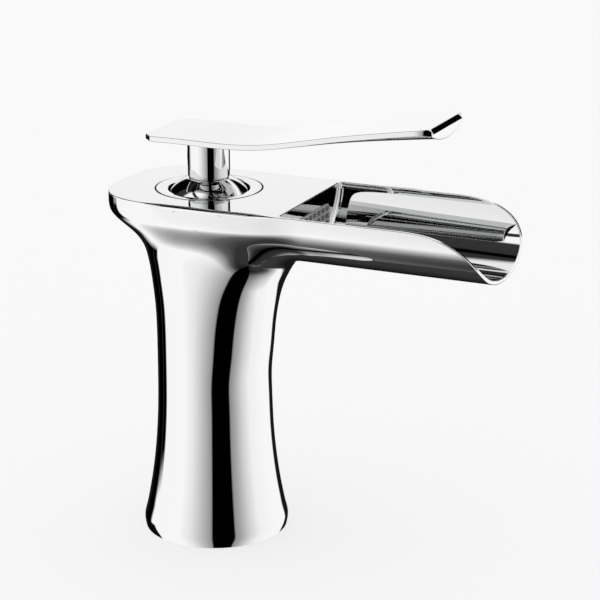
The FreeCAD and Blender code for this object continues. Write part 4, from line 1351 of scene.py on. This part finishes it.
# --------------------------------------------------------------------- stage
@dataclass
class Studio:
    """Camera, pale floor and the white studio that the chrome mirrors."""

    place: tuple = (319.4, -641.2, 304.2)
    azimuth: float = 24.14
    pitch: float = 17.32
    lens: float = 132.0
    sensor: float = 36.0
    clip: tuple = (0.01, 20.0)
    floor_size: float = 6.0
    pale: float = 0.947
    shadow: float = 0.32
    # direction round the tap, 0 towards the camera and positive to its right: brightness there
    walls: tuple = ((-180, 0.86), (-160, 0.86), (-135, 0.97), (-60, 1.0), (-42, 0.84), (-24, 0.56), (-10, 0.36),
                    (-6.5, 0.30), (-4.5, 0.0), (30, 0.0), (31.5, 0.28), (42, 0.42), (56, 0.68), (74, 0.93),
                    (110, 1.0), (150, 0.95), (165, 0.86), (180, 0.86))
    # dark band low on the far side: its share by direction and by height, and its brightness by height
    behind: tuple = ((-180, 1.0), (-150, 1.0), (-144, 0.0), (144, 0.0), (150, 1.0), (180, 1.0))
    behind_height: tuple = ((-90, 1.0), (-3, 1.0), (1, 0.0), (90, 0.0))
    below: tuple = ((-90, 0.045), (-55, 0.035), (-35, 0.008), (0, 0.006), (90, 0.006))
    # height: brightness at every side, with a dark floor steeply below and a dark frame overhead
    tall: tuple = ((-90, 0.035), (-72, 0.035), (-66, 0.12), (-58, 0.50), (-50, 1.0), (59, 1.0), (60.3, 0.02),
                   (64.2, 0.02), (65.4, 1.0), (90, 1.0))
    # dark panels: share of the light that each one takes, round the tap and by height
    panels: tuple = (
        (((-180, 0), (-162, 0), (-158, 1), (-126, 1), (-122, 0), (180, 0)),
         ((-90, 0), (2, 0), (5, 1), (48, 1), (52, 0), (90, 0))),
        (((-180, 0), (122, 0), (126, 0.70), (131, 0.86), (133.4, 1), (160, 1), (163, 0), (180, 0)),
         ((-90, 0), (2, 0), (5, 1), (30, 1), (34, 0), (90, 0))),
        (((-180, 0), (-176, 0), (-172, 0.965), (-104, 0.965), (-96, 0), (180, 0)),
         ((-90, 0), (25, 0), (29, 1), (90, 1))),
        (((-180, 0), (-127, 0), (-125, 1), (-114, 1), (-111, 0), (180, 0)),
         ((-90, 0), (-46, 0), (-38, 1), (-15.8, 1), (-12, 0), (90, 0))),
        (((-180, 0), (-154, 0), (-149, 1), (-126, 1), (-121, 0), (180, 0)),
         ((-90, 0), (-46, 0), (-37, 1), (-3, 1), (1, 0), (90, 0))),
        (((-180, 0), (139, 0), (143, 1), (149, 1), (154, 0), (180, 0)),
         ((-90, 0), (-46, 0), (-37, 1), (-3, 1), (1, 0), (90, 0))),
    )
    gain: float = 1.32

    def camera(self) -> None:
        """Place the camera as in the photo."""
        data = bpy.data.cameras.new("camera")
        data.lens = self.lens
        data.sensor_width = self.sensor
        data.clip_start, data.clip_end = self.clip
        camera = bpy.data.objects.new("camera", data)
        bpy.context.collection.objects.link(camera)
        camera.location = Vector(self.place) * MM
        turn = math.radians(self.azimuth)
        dip = math.radians(self.pitch)
        forward = Vector((-math.sin(turn) * math.cos(dip), math.cos(turn) * math.cos(dip), -math.sin(dip)))
        camera.rotation_mode = "QUATERNION"
        camera.rotation_quaternion = forward.to_track_quat("-Z", "Y")
        bpy.context.scene.camera = camera

    def floor(self) -> None:
        """Lay the pale floor, which shows a faint shadow and isn't mirrored by the chrome."""
        bm = bmesh.new()
        bmesh.ops.create_grid(bm, x_segments=1, y_segments=1, size=self.floor_size / 2)
        mesh = bpy.data.meshes.new("floor")
        bm.to_mesh(mesh)
        bm.free()
        floor = bpy.data.objects.new("floor", mesh)
        bpy.context.collection.objects.link(floor)
        material, graph, shader = new_material("pale_floor")
        camera_ray = graph.add("LightPath")["Is Camera Ray"]
        graph.feed(shader, {"Roughness": 1.0, "Specular IOR Level": 0.0,
                            "Base Color": graph.blend(camera_ray, grey(self.pale), grey(self.shadow)),
                            "Emission Color": grey(self.pale - self.shadow), "Emission Strength": camera_ray})
        mesh.materials.append(material)
        floor.visible_glossy = False

    @staticmethod
    def ramp(graph: Graph, source: bpy.types.NodeSocket, half: float, stops: tuple) -> bpy.types.NodeSocket:
        """Brightness that follows an angle.

        Args:
            graph: the world's graph.
            source: the angle, in degrees.
            half: the ramp runs from minus this angle to plus this angle.
            stops: (angle, brightness) pairs.

        Returns:
            The brightness.
        """
        share = graph.add("MapRange", {"Value": source, "From Min": -half, "From Max": half})["Result"]
        colour = graph.add("ValToRGB", {"Fac": share})["Color"]
        bar = colour.node.color_ramp
        while len(bar.elements) < len(stops):
            bar.elements.new(1.0)
        for element, (angle, value) in zip(bar.elements, stops):
            element.position = (angle + half) / (2 * half)
            element.color = grey(value)
        return colour

    def world(self) -> None:
        """Light the tap with a plain white world, which glossy surfaces see with its dark panels."""
        world = bpy.data.worlds.new("studio")
        bpy.context.scene.world = world
        world.use_nodes = True
        graph = Graph(world.node_tree)
        place = graph.add("TexCoord")["Generated"]
        turn = math.radians(self.azimuth)
        back, right, up = (
            graph.add("VectorMath", {0: place, 1: way}, operation="DOT_PRODUCT")["Value"]
            for way in ((math.sin(turn), -math.cos(turn), 0), (math.cos(turn), math.sin(turn), 0), (0, 0, 1)))
        around = partial(self.ramp, graph, graph.maths("DEGREES", graph.maths("ARCTAN2", right, back)), 180)
        upward = partial(self.ramp, graph, graph.maths("DEGREES", graph.maths("ARCSINE", up)), 90)

        light = graph.maths("MULTIPLY", around(self.walls), upward(self.tall))
        for sides, heights in self.panels:
            taken = graph.maths("MULTIPLY", around(sides), upward(heights))
            light = graph.maths("SUBTRACT", light, graph.maths("MULTIPLY", light, taken))
        dark_share = graph.maths("MULTIPLY", around(self.behind), upward(self.behind_height))
        mirrored = graph.scaled(graph.blend(dark_share, light, upward(self.below)), self.gain)

        path = graph.add("LightPath")
        seen = graph.blend(path["Is Glossy Ray"], grey(1.0), mirrored)
        seen = graph.blend(path["Is Camera Ray"], seen, grey(self.pale))
        graph.feed(world.node_tree.nodes["Background"], {"Color": seen})

    def build(self) -> None:
        """Make the whole stage."""
        self.camera()
        self.floor()
        self.world()
        bpy.context.scene.view_settings.view_transform = "Standard"


# ---------------------------------------------------------------------- main
SLOTS = {
    "chrome": CHROME,
    "grille_plastic": GRILLE_PLASTIC,
    "seal_rubber": SEAL_RUBBER,
    "cartridge_plastic": CARTRIDGE_PLASTIC,
    "ceramic": CERAMIC,
    "raw_brass": RAW_BRASS,
    "steel": STEEL,
    "plug_plastic": IndexFinish(),
}


def main() -> None:
    """Load the frame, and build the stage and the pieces."""
    logging.basicConfig(level=logging.INFO)
    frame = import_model()
    Studio().build()
    finishes = {slot: finish.build() for slot, finish in SLOTS.items()}
    for part in frame["record"]["subparts"]:
        dress(frame["nodes"][part["node"]], finishes[part["material_slot"]])

    chrome = finishes["chrome"]
    # near-black painted shade for the gap round the trim ring and the hollows below it
    gap_shade = PAINTED_GAP_SHADE.build()
    lever = Lever()
    made = (
        (CastingMesh(Casting()).build(), Body.TAP, ("body_casting", "column_shell", "spout_trough"),
         (chrome, TROUGH_CHROME.build(), gap_shade, finishes["raw_brass"])),
        (TrimRing().build(), Body.TAP, ("trim_ring",), (chrome, gap_shade)),
        (Dome().build(), Body.HANDLE, ("handle_dome",), (chrome,)),
        (lever.build(), Body.HANDLE, ("handle_lever",), (chrome,)),
        (lever.stem(), Body.HANDLE, (), (chrome,)),
    )
    for piece, body, nodes, materials in made:
        dress(piece, *materials)
        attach(piece, body.value)
        if nodes:
            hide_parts(*nodes)
        LOG.info("%s: %d faces, stands for %s", piece.name, len(piece.data.polygons), ", ".join(nodes) or "no node")


if __name__ == "__main__":
    main()
